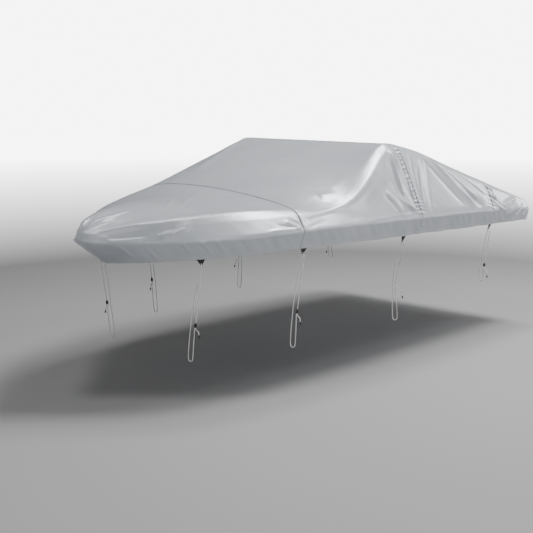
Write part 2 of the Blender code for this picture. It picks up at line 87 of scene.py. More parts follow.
# One row for each cross-section, bow to stern, as in the part's source
STATIONS = (
    (-2.496, -2.44, 0.3, 0.0, 0.258, 0.0, -0.624, -0.822, 0.88, -0.582, -0.548, -0.515, -0.548, -0.582, 0.5),
    (-2.465, -2.4, 0.3, 0.078, 0.222, 0.045, -0.644, -0.818, 0.88, -0.588, -0.53, -0.473,
     -0.536, -0.594, 0.5),
    (-2.32, -2.25, 0.3, 0.2, 0.13, 0.048, -0.652, -0.807, 0.88, -0.562, -0.474, -0.411, -0.49, -0.575, 0.5),
    (-2.12, -2.05, 0.3, 0.425, 0.06, 0.05, -0.64, -0.785, 0.88, -0.508, -0.438, -0.386, -0.478, -0.555, 0.5),
    (-1.85, -1.78, 0.3, 0.715, 0.02, 0.05, -0.616, -0.756, 0.88, -0.468, -0.418, -0.376, -0.444, -0.508, 0.5),
    (-1.53, -1.46, 0.3, 0.905, 0.0, 0.05, -0.593, -0.733, 0.88, -0.448, -0.399, -0.356, -0.398, -0.458, 0.5),
    (-1.15, -1.08, 0.3, 0.978, 0.0, 0.05, -0.58, -0.718, 0.9, -0.442, -0.396, -0.345, -0.336, -0.382, 0.35),
    (-0.87, -0.8, 0.3, 1.014, 0.0, 0.05, -0.571, -0.717, 0.89, -0.464, -0.335, -0.252, -0.224, -0.302, 0.5),
    (-0.6, -0.55, 0.3, 1.04, 0.0, 0.05, -0.57, -0.721, 0.89, -0.392, -0.258, -0.167, -0.146, -0.215, 0.5),
    (-0.35, -0.32, 0.3, 1.052, 0.0, 0.05, -0.57, -0.725, 0.87, -0.2, -0.145, -0.09, -0.078, -0.125, 0.5),
    (-0.12, -0.11, 0.3, 1.057, 0.0, 0.05, -0.571, -0.729, 0.81, -0.034, -0.034, -0.018, -0.014, -0.02, 0.4),
    (0.0, 0.0, 0.3, 1.058, 0.0, 0.05, -0.572, -0.731, 0.81, 0.024, 0.02, 0.022, 0.022, 0.024, 0.2),
    (0.24, 0.1, 0.9, 1.062, 0.0, 0.05, -0.578, -0.729, 0.81, 0.021, 0.021, 0.022, 0.021, 0.021, 0.3),
    (0.5, 0.42, 0.3, 1.064, 0.0, 0.05, -0.582, -0.735, 0.84, -0.058, -0.034, -0.022, -0.034, -0.058, 0.4),
    (0.95, 0.93, 0.3, 1.066, 0.0, 0.05, -0.586, -0.745, 0.87, -0.212, -0.178, -0.16, -0.178, -0.212, 0.5),
    (1.44, 1.46, 0.3, 1.052, 0.0, 0.048, -0.606, -0.752, 0.89, -0.35, -0.325, -0.308, -0.325, -0.35, 0.4),
    (1.8, 1.82, 0.3, 1.036, 0.0, 0.036, -0.622, -0.756, 0.9, -0.45, -0.43, -0.415, -0.43, -0.45, 0.5),
    (2.05, 2.05, 0.3, 1.026, 0.0, 0.026, -0.634, -0.761, 0.93, -0.524, -0.505, -0.494, -0.505, -0.524, 0.45),
)
STERN_TOP = ((2.150, 1.000, -0.763), (2.190, 1.020, -0.650), (2.200, 0.975, -0.570),
             (2.190, 0.520, -0.562), (2.190, 0.000, -0.554))
STERN_HEM = ((2.168, 0.986, -0.765), (2.184, 0.952, -0.766), (2.188, 0.800, -0.766),
             (2.188, 0.440, -0.768), (2.188, 0.000, -0.768))
STERN_SOFT = (0.45, 0.3)
DECK_SHARE = 0.60         # where the deck line runs, as a share of the half breadth
LINE_SOFT = (0.0, 0.16, 0.30, 0.5, 0.5)   # how far each line's corner is rounded off

# The main folds, as the part has them. Places are station and line; height is out of the cloth
FOLD_COLUMNS = ("station_a", "line_a", "station_b", "line_b", "station_c", "line_c",
                "height", "width")
FOLDS = (
    (11.0, 1.95, 11.15, 1.45, 11.7, 1.08, 0.014, 0.040),
    (11.3, 1.90, 11.5, 1.50, 11.9, 1.12, -0.011, 0.032),
    (9.7, 1.45, 10.5, 1.25, 11.5, 1.12, 0.012, 0.045),
    (12.5, 1.85, 12.5, 1.45, 12.3, 1.06, 0.010, 0.042),
    (12.6, 2.05, 13.5, 1.70, 14.4, 1.12, 0.015, 0.045),
    (13.1, 2.05, 13.9, 1.65, 14.75, 1.22, 0.012, 0.040),
    (13.0, 1.90, 13.7, 1.62, 14.6, 1.10, -0.010, 0.035),
    (10.6, 2.00, 8.9, 1.95, 6.6, 1.93, 0.009, 0.050),
    (10.4, 1.50, 9.0, 1.30, 7.3, 1.25, -0.016, 0.110),
    (0.9, 1.75, 3.3, 2.20, 5.75, 2.15, 0.008, 0.050),
    (3.05, 1.30, 3.4, 1.55, 3.75, 1.80, 0.007, 0.035),
    (15.1, 1.60, 15.3, 1.30, 15.6, 1.05, 0.008, 0.035),
    (15.6, 1.10, 16.1, 1.35, 16.6, 1.60, 0.010, 0.038),
    (7.3, 2.50, 7.6, 2.40, 7.95, 2.30, 0.008, 0.050),
    (10.05, 5.65, 8.4, 5.25, 6.9, 5.00, 0.012, 0.060),
    (12.6, 6.00, 13.8, 6.40, 14.7, 6.90, 0.013, 0.060),
    (11.2, 6.10, 11.5, 6.60, 11.9, 6.92, 0.013, 0.055),
    (2.4, 6.20, 3.8, 6.50, 5.0, 6.80, 0.009, 0.060),
)
# Creases that only the dressed cloth has, in the same columns. The near side's are where
# the photograph has them
CREASES = (
    # the crescent's crest, from the near end of the peak to the foot of the bow seam
    (11.00, 2.02, 9.80, 1.92, 8.60, 1.87, 0.007, 0.028),
    (9.00, 1.88, 7.70, 1.84, 6.20, 1.89, 0.007, 0.022),
    # upright ridges under the near end of the peak, and the hollows between them
    (11.15, 2.03, 11.08, 1.66, 11.14, 1.28, 0.010, 0.013),
    (11.42, 2.00, 11.38, 1.62, 11.48, 1.24, -0.006, 0.014),
    (10.85, 1.90, 10.78, 1.60, 10.90, 1.34, -0.006, 0.016),
    # the bright V above the gunwale
    (9.85, 1.44, 10.25, 1.24, 10.80, 1.04, 0.010, 0.026),
    (10.20, 1.42, 10.95, 1.24, 11.85, 1.06, 0.010, 0.015),
    (10.55, 1.27, 11.10, 1.12, 11.50, 1.05, -0.004, 0.016),
    # behind the gathered seam
    (12.68, 1.90, 12.42, 1.48, 12.22, 1.11, 0.007, 0.015),
    (12.40, 2.00, 12.28, 1.60, 12.14, 1.22, -0.007, 0.013),
    (12.95, 1.92, 12.80, 1.50, 12.60, 1.12, -0.005, 0.022),
    # the long folds that fan aft from the peak's near corner
    (12.95, 2.02, 13.72, 1.60, 14.33, 1.07, 0.011, 0.015),
    (13.25, 1.98, 13.98, 1.58, 14.50, 1.14, -0.010, 0.017),
    (13.55, 1.98, 14.22, 1.62, 14.70, 1.28, 0.006, 0.014),
    (13.80, 1.98, 14.38, 1.70, 14.84, 1.42, -0.006, 0.014),
    (12.70, 1.98, 13.40, 1.55, 13.90, 1.15, -0.005, 0.018),
    # the crescent's fold forks at the foot of the bow seam
    (7.30, 2.72, 7.55, 2.36, 7.85, 2.04, 0.003, 0.045),
    (6.95, 1.42, 6.50, 1.26, 6.12, 1.08, -0.004, 0.016),
    (7.30, 1.76, 6.75, 1.62, 6.15, 1.52, -0.004, 0.018),
    # bow: pulls at the seam's foot
    (5.60, 1.56, 5.78, 1.32, 5.96, 1.12, 0.006, 0.013),
    (5.72, 1.66, 5.86, 1.42, 5.98, 1.20, -0.004, 0.012),
    (5.42, 1.42, 5.62, 1.26, 5.84, 1.08, -0.004, 0.013),
    (5.20, 1.17, 5.58, 1.15, 5.94, 1.13, 0.005, 0.011),
    # bow: the shoulder's crest
    (0.55, 1.78, 1.86, 2.05, 3.10, 2.03, 0.007, 0.024),
    (2.90, 2.02, 4.20, 2.14, 5.72, 2.10, 0.006, 0.030),
    (0.70, 1.55, 1.80, 1.72, 2.90, 1.78, -0.003, 0.022),
    (3.28, 1.32, 3.45, 1.47, 3.62, 1.64, 0.006, 0.012),
    (3.05, 1.46, 3.20, 1.58, 3.40, 1.70, -0.005, 0.014),
    (4.10, 3.30, 4.60, 3.62, 5.20, 3.86, 0.004, 0.022),
    (3.60, 3.16, 3.95, 3.50, 4.40, 3.80, 0.004, 0.020),
    # bow: wrinkles that spread from the nose
    (0.60, 2.66, 1.18, 3.03, 1.62, 3.24, 0.006, 0.012),
    (0.85, 2.80, 1.52, 3.08, 2.05, 3.12, 0.006, 0.013),
    (1.95, 3.10, 2.34, 3.19, 2.70, 3.26, 0.005, 0.014),
    (0.70, 2.40, 1.40, 2.60, 2.10, 2.66, -0.005, 0.016),
    (0.60, 3.10, 1.05, 3.50, 1.60, 3.75, -0.005, 0.014),
    (0.50, 2.18, 1.26, 1.86, 1.82, 1.49, 0.006, 0.014),
    (1.69, 1.25, 2.25, 1.23, 2.80, 1.26, 0.005, 0.011),
    # slanting wrinkles in the bow's skirt
    (3.48, 0.96, 3.57, 0.62, 3.67, 0.20, 0.005, 0.014),
    (3.81, 1.00, 3.92, 0.67, 4.06, 0.22, 0.006, 0.013),
    (4.08, 1.00, 4.19, 0.66, 4.33, 0.24, 0.005, 0.013),
    (2.10, 0.86, 2.22, 0.58, 2.34, 0.30, 0.005, 0.014),
    (2.74, 0.80, 2.86, 0.46, 2.98, 0.12, 0.004, 0.013),
    (4.60, 0.96, 4.72, 0.62, 4.86, 0.28, 0.003, 0.013),
    # near quarter: wrinkles across the seam
    (14.84, 1.84, 15.02, 1.79, 15.24, 1.76, 0.006, 0.011),
    (14.88, 1.74, 15.06, 1.70, 15.22, 1.66, -0.006, 0.010),
    (14.98, 1.54, 15.14, 1.48, 15.28, 1.40, 0.006, 0.011),
    (14.96, 1.46, 15.10, 1.40, 15.22, 1.32, -0.006, 0.010),
    (15.05, 1.33, 15.23, 1.14, 15.51, 0.93, 0.008, 0.012),
    (15.12, 1.42, 15.34, 1.20, 15.64, 0.98, -0.006, 0.012),
    # the stern's near corner: three slanting folds and the hollows between them
    (15.50, 1.12, 15.94, 1.34, 16.44, 1.54, 0.013, 0.018),
    (15.92, 0.40, 16.12, 0.92, 16.56, 1.28, 0.013, 0.013),
    (15.72, 0.66, 16.02, 1.10, 16.50, 1.42, -0.010, 0.012),
    (17.05, 0.30, 17.32, 0.58, 17.60, 0.86, 0.010, 0.012),
    (16.40, 0.50, 16.72, 0.95, 17.20, 1.30, -0.006, 0.016),
    (15.25, 1.04, 15.33, 1.01, 15.43, 0.95, 0.006, 0.010),
    # the gunwale's edge, where the cloth is stretched over it
    (8.80, 1.04, 10.10, 1.02, 11.86, 1.01, 0.004, 0.011),
    # front slope, near side
    (10.45, 2.08, 8.85, 2.44, 7.40, 2.50, 0.003, 0.060),
    (10.30, 2.60, 9.00, 3.20, 7.80, 3.90, -0.003, 0.050),
    # far side
    (12.40, 5.90, 13.20, 6.00, 14.20, 6.40, 0.007, 0.018),
    (12.60, 6.30, 13.10, 6.60, 13.40, 6.92, 0.006, 0.016),
    (11.60, 5.95, 11.80, 6.40, 12.10, 6.90, 0.007, 0.015),
    (10.90, 6.10, 10.80, 6.50, 11.10, 6.90, -0.006, 0.016),
    (10.40, 6.20, 9.80, 6.50, 8.80, 6.80, 0.006, 0.020),
    (10.60, 6.02, 8.90, 6.05, 6.80, 6.10, 0.007, 0.018),
    (7.40, 6.10, 6.80, 6.40, 6.20, 6.80, 0.005, 0.018),
    (5.20, 6.85, 5.50, 6.60, 5.90, 6.20, 0.006, 0.014),
    (0.60, 6.20, 2.40, 5.95, 4.60, 5.90, 0.006, 0.018),
    (3.60, 7.10, 3.80, 7.40, 3.95, 7.80, 0.004, 0.014),
    (15.30, 6.20, 15.80, 6.50, 16.30, 6.90, 0.007, 0.016),
    (16.40, 6.90, 16.90, 6.60, 17.30, 6.30, 0.006, 0.014),
    # stern wall and after deck
    (17.60, 2.60, 17.90, 2.40, 18.40, 2.20, 0.005, 0.018),
    (17.50, 5.40, 17.90, 5.60, 18.50, 5.80, 0.005, 0.018),
    (16.10, 3.00, 16.80, 3.40, 17.60, 3.60, 0.003, 0.035),
)
# The skirt's slow waves: length, depth, the turn from one to the next, and their share at
# each line round the girth
SKIRT_WAVES = ((0.43, 0.0030), (0.27, 0.0020))
WAVE_SHIFT = 1.3
WAVES_AT = ((0, 0.5, 1, 7, 7.5, 8), (1, 0.7, 0, 0, 0.7, 1))
FOLD_REACH = 3            # a fold is worked out to this many of its widths
FOLD_TAPER = 5            # it rises over a fifth of its length at each end
FOLD_START = 0.15         # from this share of its height
BOW_STATIONS = 2.0        # folds and waves grow from nothing over these at the bow

# Panels: first and last station, the largest girth and length of the draped face, which
# stand for the flat cut's width and length, and its area
PANELS = (
    ("bow_panel", 0, 6, 2.43, 1.71, 2.62),
    ("front_panel", 6, 12, 3.26, 1.41, 3.80),
    ("cockpit_panel", 12, 15, 3.26, 1.36, 3.92),
    ("stern_panel", 15, 19, 2.71, 1.03, 2.35),
)
# The dressed cloth's mesh: steps round the girth for each stretch between two lines, and
# along the boat, finer beside the seams
GIRTH_STEPS = (0.0065, 0.0050, 0.0100, 0.0120, 0.0120, 0.0100, 0.0065, 0.0075)
STEP_ALONG = 0.0100
STEP_BESIDE = 0.0062
BESIDE_SEAM = (5, 6, 11, 12, 14, 15)
LONG_STEPS = 80           # a stretch counts as long as this percentile of its lengths
BEYOND = 0.02             # stations past a panel's ends that its edge normals also look at
UV_SHIFT = 0.37           # a panel's UVs start this far on for each station before it


def table(columns, rows):
    return [dict(zip(columns, row)) for row in rows]


# ---- the draped surface
def section_points(row):
    """A station's nine points, near hem to far hem over the top."""
    lean_x = row["top_x"] - row["rim_x"]
    deck_lean = (1 + row["lean"]) / 2
    half = row["half"]
    near = (
        (row["rim_x"] + row["back"], -(half - row["inset"]), row["hem_z"]),
        (row["rim_x"], -half, row["rim_z"]),
        (row["rim_x"] + row["lean"] * lean_x, -half * row["sh"], row["near_sh_z"]),
        (row["rim_x"] + deck_lean * lean_x, -half * DECK_SHARE, row["near_deck_z"]),
    )
    crown = (row["top_x"], 0.0, row["crown_z"])
    far_z = (row["hem_z"], row["rim_z"], row["far_sh_z"], row["far_deck_z"])
    far = [(x, -y, z) for (x, y, _), z in zip(near, far_z)]
    return [*near, crown, *reversed(far)]


def stern_points(line):
    near = [(x, -y, z) for x, y, z in line]
    far = [(x, y, z) for x, y, z in line[:-1]]
    return [*near, *reversed(far)]


stations = table(STATION_COLUMNS, STATIONS)
CAGE = np.array([section_points(row) for row in stations]
                + [stern_points(STERN_TOP), stern_points(STERN_HEM)])
STATION_SOFT = np.array([row["soft"] for row in stations] + list(STERN_SOFT))
ROW_SOFT = np.array(LINE_SOFT + LINE_SOFT[-2::-1])
CENTRE_LINE = len(LINE_SOFT) - 1


def rounded_weights(places, soft):
    """Weights that run straight between a cage's rows and round each corner off."""
    count = len(soft)
    weights = np.zeros((len(places), count))
    for i, place in enumerate(places):
        k = int(min(max(round(place), 0), count - 1))
        reach = soft[k] if 0 < k < count - 1 else 0.0
        if reach > 0 and abs(place - k) < reach:
            s = (place - k + reach) / (2 * reach)
            before = reach * (1 - s) ** 2
            after = reach * s ** 2
            weights[i, k - 1] = before
            weights[i, k] = 1 - before - after
            weights[i, k + 1] = after
        else:
            low = int(min(max(math.floor(place), 0), count - 2))
            weights[i, low] = 1 - (place - low)
            weights[i, low + 1] = place - low
    return weights


def base_surface(us, vs):
    along = rounded_weights(us, STATION_SOFT)
    across = rounded_weights(vs, ROW_SOFT)
    return np.einsum("ui,vj,ijc->uvc", along, across, CAGE)


def normals(points):
    """Outward unit normals of a grid of points."""
    n = np.cross(np.gradient(points, axis=0), np.gradient(points, axis=1))
    return n / np.maximum(np.linalg.norm(n, axis=2, keepdims=True), 1e-9)


def fold_path(fold, steps=12):
    """A fold's line on the cover, through its three named places."""
    ts = np.linspace(0, 1, steps)
    a = (1 - ts) * (1 - 2 * ts)
    b = 4 * ts * (1 - ts)
    c = ts * (2 * ts - 1)
    us = a * fold["station_a"] + b * fold["station_b"] + c * fold["station_c"]
    vs = a * fold["line_a"] + b * fold["line_b"] + c * fold["line_c"]
    return np.array([base_surface([u], [v])[0, 0] for u, v in zip(us, vs)])


def fold_push(points, folds):
    """How far a list of folds lifts each point of a grid."""
    push = np.zeros(points.shape[:2])
    flat = points.reshape(-1, 3)
    for fold, path in folds:
        reach = FOLD_REACH * fold["width"]
        low, high = path.min(0) - reach, path.max(0) + reach
        inside = np.flatnonzero(((flat > low) & (flat < high)).all(1))
        if not len(inside):
            continue
        here = flat[inside]
        best = np.full(len(here), 1e9)
        place = np.zeros(len(here))
        for k in range(len(path) - 1):
            step = path[k + 1] - path[k]
            t = np.clip(((here - path[k]) @ step) / max(step @ step, 1e-12), 0, 1)
            gap = np.linalg.norm(here - path[k] - t[:, None] * step, axis=1)
            closer = gap < best
            best = np.where(closer, gap, best)
            place = np.where(closer, (k + t) / (len(path) - 1), place)
        taper = np.clip(np.minimum(place, 1 - place) * FOLD_TAPER + FOLD_START, 0, 1)
        push.flat[inside] += fold["height"] * taper * np.exp(-(best / fold["width"]) ** 2)
    return push


MAIN_FOLDS = [(fold, fold_path(fold)) for fold in table(FOLD_COLUMNS, FOLDS)]
FINE_FOLDS = [(fold, fold_path(fold)) for fold in table(FOLD_COLUMNS, CREASES)]


def cover_surface(us, vs, detail=None):
    """The cover's outer face as the part has it, and with detail also the fine relief."""
    points = base_surface(us, vs)
    outward = normals(points)
    push = fold_push(points, MAIN_FOLDS)
    skirt = np.interp(vs, *WAVES_AT)
    for k, (length, depth) in enumerate(SKIRT_WAVES):
        wave = np.sin(2 * math.pi * points[..., 0] / length + WAVE_SHIFT * k)
        push += depth * wave * skirt[None, :]
    if detail is not None:
        push += detail(points, np.array(us), np.array(vs))
    ends = np.clip(np.array(us) / BOW_STATIONS, 0, 1)
    points = points + outward * (push * ends[:, None])[..., None]
    points[..., 2] += DROP_ALL + HEEL * points[..., 1]
    return points


# ---- fine relief of the cloth
# Each seam: its station, how high its puckers stand at the side and on top, their length
# along the seam, how far they reach from it, how strong they are near its foot, and how
# deep the narrow dip is in which the seam lies
SEAM_COLUMNS = ("station", "side", "top", "pitch", "reach", "foot", "dip")
SEAMS = (
    (6, 0.0003, 0.0001, 0.060, 0.030, 0.0010, 0.0085),
    (12, 0.0046, 0.0010, 0.030, 0.034, 0.0020, 0.0030),
    (15, 0.0038, 0.0003, 0.038, 0.034, 0.0018, 0.0022),
)
SEAM_DIP_WIDTH = 0.007
SEAM_MARGIN = 0.03        # a seam counts this far past a grid's end, in stations
PUCKER_SLANT = 0.5        # puckers lean to and fro by this share
PUCKER_DRIFT = 5          # and lean the same way again after this many of them
# Shares at the lines round the girth: of puckers, of their rise at a seam's foot, of the
# seam's dip, and of the skirt's folds, which also have shares at the stations
PUCKERS_AT = ((0, 0.9, 1.1, 2.0, 2.3, 5.7, 6.0, 6.9, 7.1, 8),
              (0.25, 0.3, 1, 1, 0, 0, 1, 1, 0.3, 0.25))
FOOT_AT = ((0.7, 1.05, 1.5, 1.9, 6.1, 6.5, 6.95, 7.3), (0, 1, 0.7, 0, 0, 0.7, 1, 0))
DIP_AT = ((0.8, 1.1, 6.9, 7.2), (0.15, 1, 1, 0.15))
SKIRT_AT = ((0, 0.6, 1.0, 7.0, 7.4, 8), (1, 0.9, 0.05, 0.05, 0.9, 1))
SKIRT_ALONG = ((0, 1.0, 2.5, 4.5, 5.5, 19), (0.3, 0.6, 1.5, 1.5, 0.7, 0.55))
# The gathered seam is a band: a second row of stitches runs this far ahead of it
BAND_STATION = 12
BAND_WIDE = 0.046
BAND_DIP = 0.0040
BAND_PITCH = 0.034
BAND_PUFF = 0.0085        # and the cloth puffs up between the two rows
BAND_FULL = 0.15          # evenly by this share, and the rest in puckers
BAND_TWIST = 3.0          # that turn by this much across the band, in radians
TURNED = 0.0012           # the turned hem lies this far behind the face
HEM_BAND = 0.020          # the hem's width
HEM_STEP = 0.0010         # how far its doubled cloth stands out
HEM_EDGE = 0.003          # and over what width it rises
# The hem's turn: shares of TURNED behind the face, and how far up from the edge
HEM_TURN = ((0.5, -0.0006), (1.0, 0.0010), (1.0, HEM_BAND / 2), (1.0, HEM_BAND))
SKIRT_FOLD_DEPTH = 0.0022
SKIRT_FOLD_SLANT = 0.9    # aft for each metre down
SKIRT_FOLD_PITCH = (0.12, 0.9)   # the soft fields' lengths along the boat and up the girth
CRUMPLE_DEPTH = 0.0005
CRUMPLE_PITCH = (0.16, 0.13)
NOSE_SEAM_TO = 2.4        # the bow's centre seam runs up to this station
NOSE_FADE = 0.4           # and fades out over this many
NOSE_BEAD = 0.003         # its bead stands out this far
NOSE_BEAD_WIDTH = 0.007
# Spans of the random draws: a pucker's length and height, and a soft field's waves
WAVE_SPAN = (0.6, 1.5)
WAVE_HEIGHT = (0.35, 1.0)
FIELD_WAVES = 9
FIELD_SPAN = (0.5, 1.4)
FIELD_BEND = 3


def uneven_phase(lengths, pitch, seed):
    """A wave's phase along a line, with waves of uneven length."""
    random = np.random.default_rng(seed)
    count = int(lengths.max() / (WAVE_SPAN[0] * pitch)) + 3
    ends = np.concatenate([[0], np.cumsum(pitch * random.uniform(*WAVE_SPAN, count))])
    heights = random.uniform(*WAVE_HEIGHT, count + 1)
    phase = 2 * math.pi * np.interp(lengths, ends, np.arange(count + 1))
    return phase, np.interp(lengths, ends, heights)


def smooth_field(x, y, pitch_x, pitch_y, seed):
    """A soft random field from -1 to 1, with blobs of about those lengths."""
    random = np.random.default_rng(seed)
    field = np.zeros(np.broadcast(x, y).shape)
    for _ in range(FIELD_WAVES):
        turn = random.uniform(0, 2 * math.pi, 2)
        fx = random.uniform(*FIELD_SPAN) / pitch_x
        fy = random.uniform(-FIELD_SPAN[1], FIELD_SPAN[1]) / pitch_y
        bend = np.sin(turn[1] + FIELD_BEND * y)
        field += np.sin(2 * math.pi * (fx * x + fy * y) + turn[0] + bend)
    return field / (FIELD_WAVES / 2)


def grid_lengths(points):
    """Each grid point's distance round the cover from the near hem, and along it."""
    lengths = []
    for axis in (1, 0):
        steps = np.linalg.norm(np.diff(points, axis=axis), axis=2)
        lengths.append(np.insert(np.cumsum(steps, axis=axis), 0, 0, axis=axis))
    return lengths


def seam_distance(us, along, station):
    """Signed distance along the cloth from a seam, or None if the grid ends before it."""
    if station < us[0] - SEAM_MARGIN or station > us[-1] + SEAM_MARGIN:
        return None
    row = int(np.argmin(np.abs(us - station)))
    return along - along[row][None, :]


def hem_distance(girth):
    return np.minimum(girth, girth[:, -1:] - girth)


def centre_distance(girth, vs):
    """Distance round the cover from its centre line."""
    middle = int(np.argmin(np.abs(vs - CENTRE_LINE)))
    return np.abs(girth - girth[:, [middle]])


def seam_relief(k, seam, away, run, vs):
    """A seam's puckers on both sides of it, and the dip that it lies in."""
    side, foot = np.interp(vs, *PUCKERS_AT), np.interp(vs, *FOOT_AT)
    size = seam["top"] + (seam["side"] - seam["top"]) * side + seam["foot"] * foot
    push = -seam["dip"] * np.interp(vs, *DIP_AT) * np.exp(-(away / SEAM_DIP_WIDTH) ** 2)
    for forward in (-1, 1):
        phase, height = uneven_phase(run, seam["pitch"], seed=11 + 7 * k + forward)
        slant = 1 + PUCKER_SLANT * forward * np.sin(phase / PUCKER_DRIFT)
        shape = np.sin(phase[None, :] + slant[None, :] * away / seam["pitch"])
        fall = np.exp(-np.abs(away) / seam["reach"]) * (away * forward >= 0)
        push += shape * fall * (size * height)[None, :]
    return push


def band_relief(away, run, vs):
    """The puffed cloth between the gathered seam's two rows, and the second row's dip."""
    side = np.interp(vs, *PUCKERS_AT)
    phase, height = uneven_phase(run, BAND_PITCH, seed=3)
    ahead = -away / BAND_WIDE
    inside = np.clip(4 * ahead * (1 - ahead), 0, 1)
    twist = phase[None, :] + BAND_TWIST * ahead
    push = BAND_PUFF * side * inside * (BAND_FULL + height * np.sin(twist))
    return push - BAND_DIP * side ** 2 * np.exp(-((away + BAND_WIDE) / SEAM_DIP_WIDTH) ** 2)


def skirt_relief(points, girth, us, vs):
    """The hem's doubled cloth, the skirt's slanted folds and a light crumple all over."""
    up = hem_distance(girth)
    push = HEM_STEP * np.clip((HEM_BAND - up) / HEM_EDGE, 0, 1)
    share = np.interp(vs, *SKIRT_AT)[None, :] * np.interp(us, *SKIRT_ALONG)[:, None]
    slanted = points[..., 0] + SKIRT_FOLD_SLANT * points[..., 2]
    push += SKIRT_FOLD_DEPTH * share * smooth_field(slanted, up, *SKIRT_FOLD_PITCH, seed=5)
    crumple = smooth_field(points[..., 0], girth, *CRUMPLE_PITCH, seed=9)
    return push + CRUMPLE_DEPTH * crumple


def relief(points, us, vs):
    """Creases, seam puckers, hem, skirt folds and the nose seam, as a push outwards."""
    girth, along = grid_lengths(points)
    push = fold_push(points, FINE_FOLDS)
    for k, seam in enumerate(table(SEAM_COLUMNS, SEAMS)):
        away = seam_distance(us, along, seam["station"])
        if away is None:
            continue
        run = girth[int(np.argmin(np.abs(us - seam["station"])))]
        push += seam_relief(k, seam, away, run, vs)
        if seam["station"] == BAND_STATION:
            push += band_relief(away, run, vs)
    push += skirt_relief(points, girth, us, vs)
    if us[0] < NOSE_SEAM_TO:
        centre = centre_distance(girth, vs)
        upto = np.clip((NOSE_SEAM_TO - us) / NOSE_FADE, 0, 1)[:, None]
        push += NOSE_BEAD * upto * np.exp(-(centre / NOSE_BEAD_WIDTH) ** 2)
    return push


# ---- cloth meshes
def grid_places(lengths, first, last, steps):
    """Places between two rows of the cage, with each stretch's own step."""
    places = []
    for k in range(first, last):
        pieces = max(2, round(lengths[k] / steps[k]))
        places.extend(k + i / pieces for i in range(pieces))
    places.append(float(last))
    return np.array(places)


def cage_steps(axis):
    steps = np.linalg.norm(np.diff(CAGE, axis=axis), axis=2)
    return np.percentile(steps, LONG_STEPS, axis=1 - axis)


def turn_hem(edge, above, inner):
    """Rows of points that turn the cloth's edge up behind itself, as the hem is sewn."""
    up = above - edge
    up /= np.linalg.norm(up, axis=1, keepdims=True)
    return [edge + inner * back * TURNED + up * rise for back, rise in HEM_TURN]


def widen(values, extra):
    """The same values carried on over the turned hem's columns."""
    return np.pad(values, ((0, 0), (extra, extra)), mode="edge")


def cloth(name, first, last, material):
    """A panel's dressed cloth, with its UVs in metres and what its material reads."""
    final = len(STATION_SOFT) - 1
    along_steps = [STEP_BESIDE if k in BESIDE_SEAM else STEP_ALONG for k in range(final + 1)]
    us = grid_places(cage_steps(0), first, last, along_steps)
    vs = grid_places(cage_steps(1), 0, len(ROW_SOFT) - 1, GIRTH_STEPS)
    wide = np.clip(np.concatenate([[us[0] - BEYOND], us, [us[-1] + BEYOND]]), 0, final)
    points = cover_surface(wide, vs, relief)[1:-1]
    plain = base_surface(us, vs)
    girth, along = grid_lengths(plain)
    behind = -normals(points)
    near = turn_hem(points[:, 0], points[:, 2], behind[:, 1])
    far = turn_hem(points[:, -1], points[:, -3], behind[:, -2])
    points = np.stack([*near[::-1], *points.transpose(1, 0, 2), *far], axis=1)
    extra = len(near)
    hem = widen(hem_distance(girth), extra)
    nose = widen(centre_distance(girth, vs), extra)
    turned_up = np.linspace(HEM_BAND, HEM_TURN[1][1], extra)[None, :]
    girth = np.concatenate([girth[:, :1] - turned_up, girth,
                            girth[:, -1:] + turned_up[:, ::-1]], axis=1)
    along = widen(along, extra)
    index = np.arange(along.size).reshape(along.shape)
    faces = np.stack([index[:-1, :-1], index[1:, :-1], index[1:, 1:], index[:-1, 1:]], -1)
    mesh = bpy.data.meshes.new(name)
    mesh.from_pydata(points.reshape(-1, 3).tolist(), [], faces.reshape(-1, 4).tolist())
    to_end = along[-1:] - along
    # seam_gap also holds the distance from the nose's centre seam, so painted shade darkens it too
    gap = nose + np.clip(us - NOSE_SEAM_TO, 0, 1)[:, None]
    if first > 0:
        gap = np.minimum(gap, along)
    if last < final:
        gap = np.minimum(gap, to_end)
    band = np.abs(to_end - BAND_WIDE) if last == BAND_STATION else np.ones_like(gap)
    for label, values in (("seam_gap", gap), ("hem_gap", hem), ("band_gap", band)):
        layer = mesh.attributes.new(label, "FLOAT", "POINT")
        layer.data.foreach_set("value", values.ravel().astype(np.float32))
    layer = mesh.uv_layers.new(name="cloth")
    corner = np.zeros(len(mesh.loops), np.int32)
    mesh.loops.foreach_get("vertex_index", corner)
    uv = np.stack([along.ravel()[corner] + UV_SHIFT * first, girth.ravel()[corner]], 1)
    layer.data.foreach_set("uv", uv.ravel().astype(np.float32))
    mesh.shade_smooth()
    mesh.materials.append(material)
    return add_object(name.replace("_panel", "_cloth"), mesh)


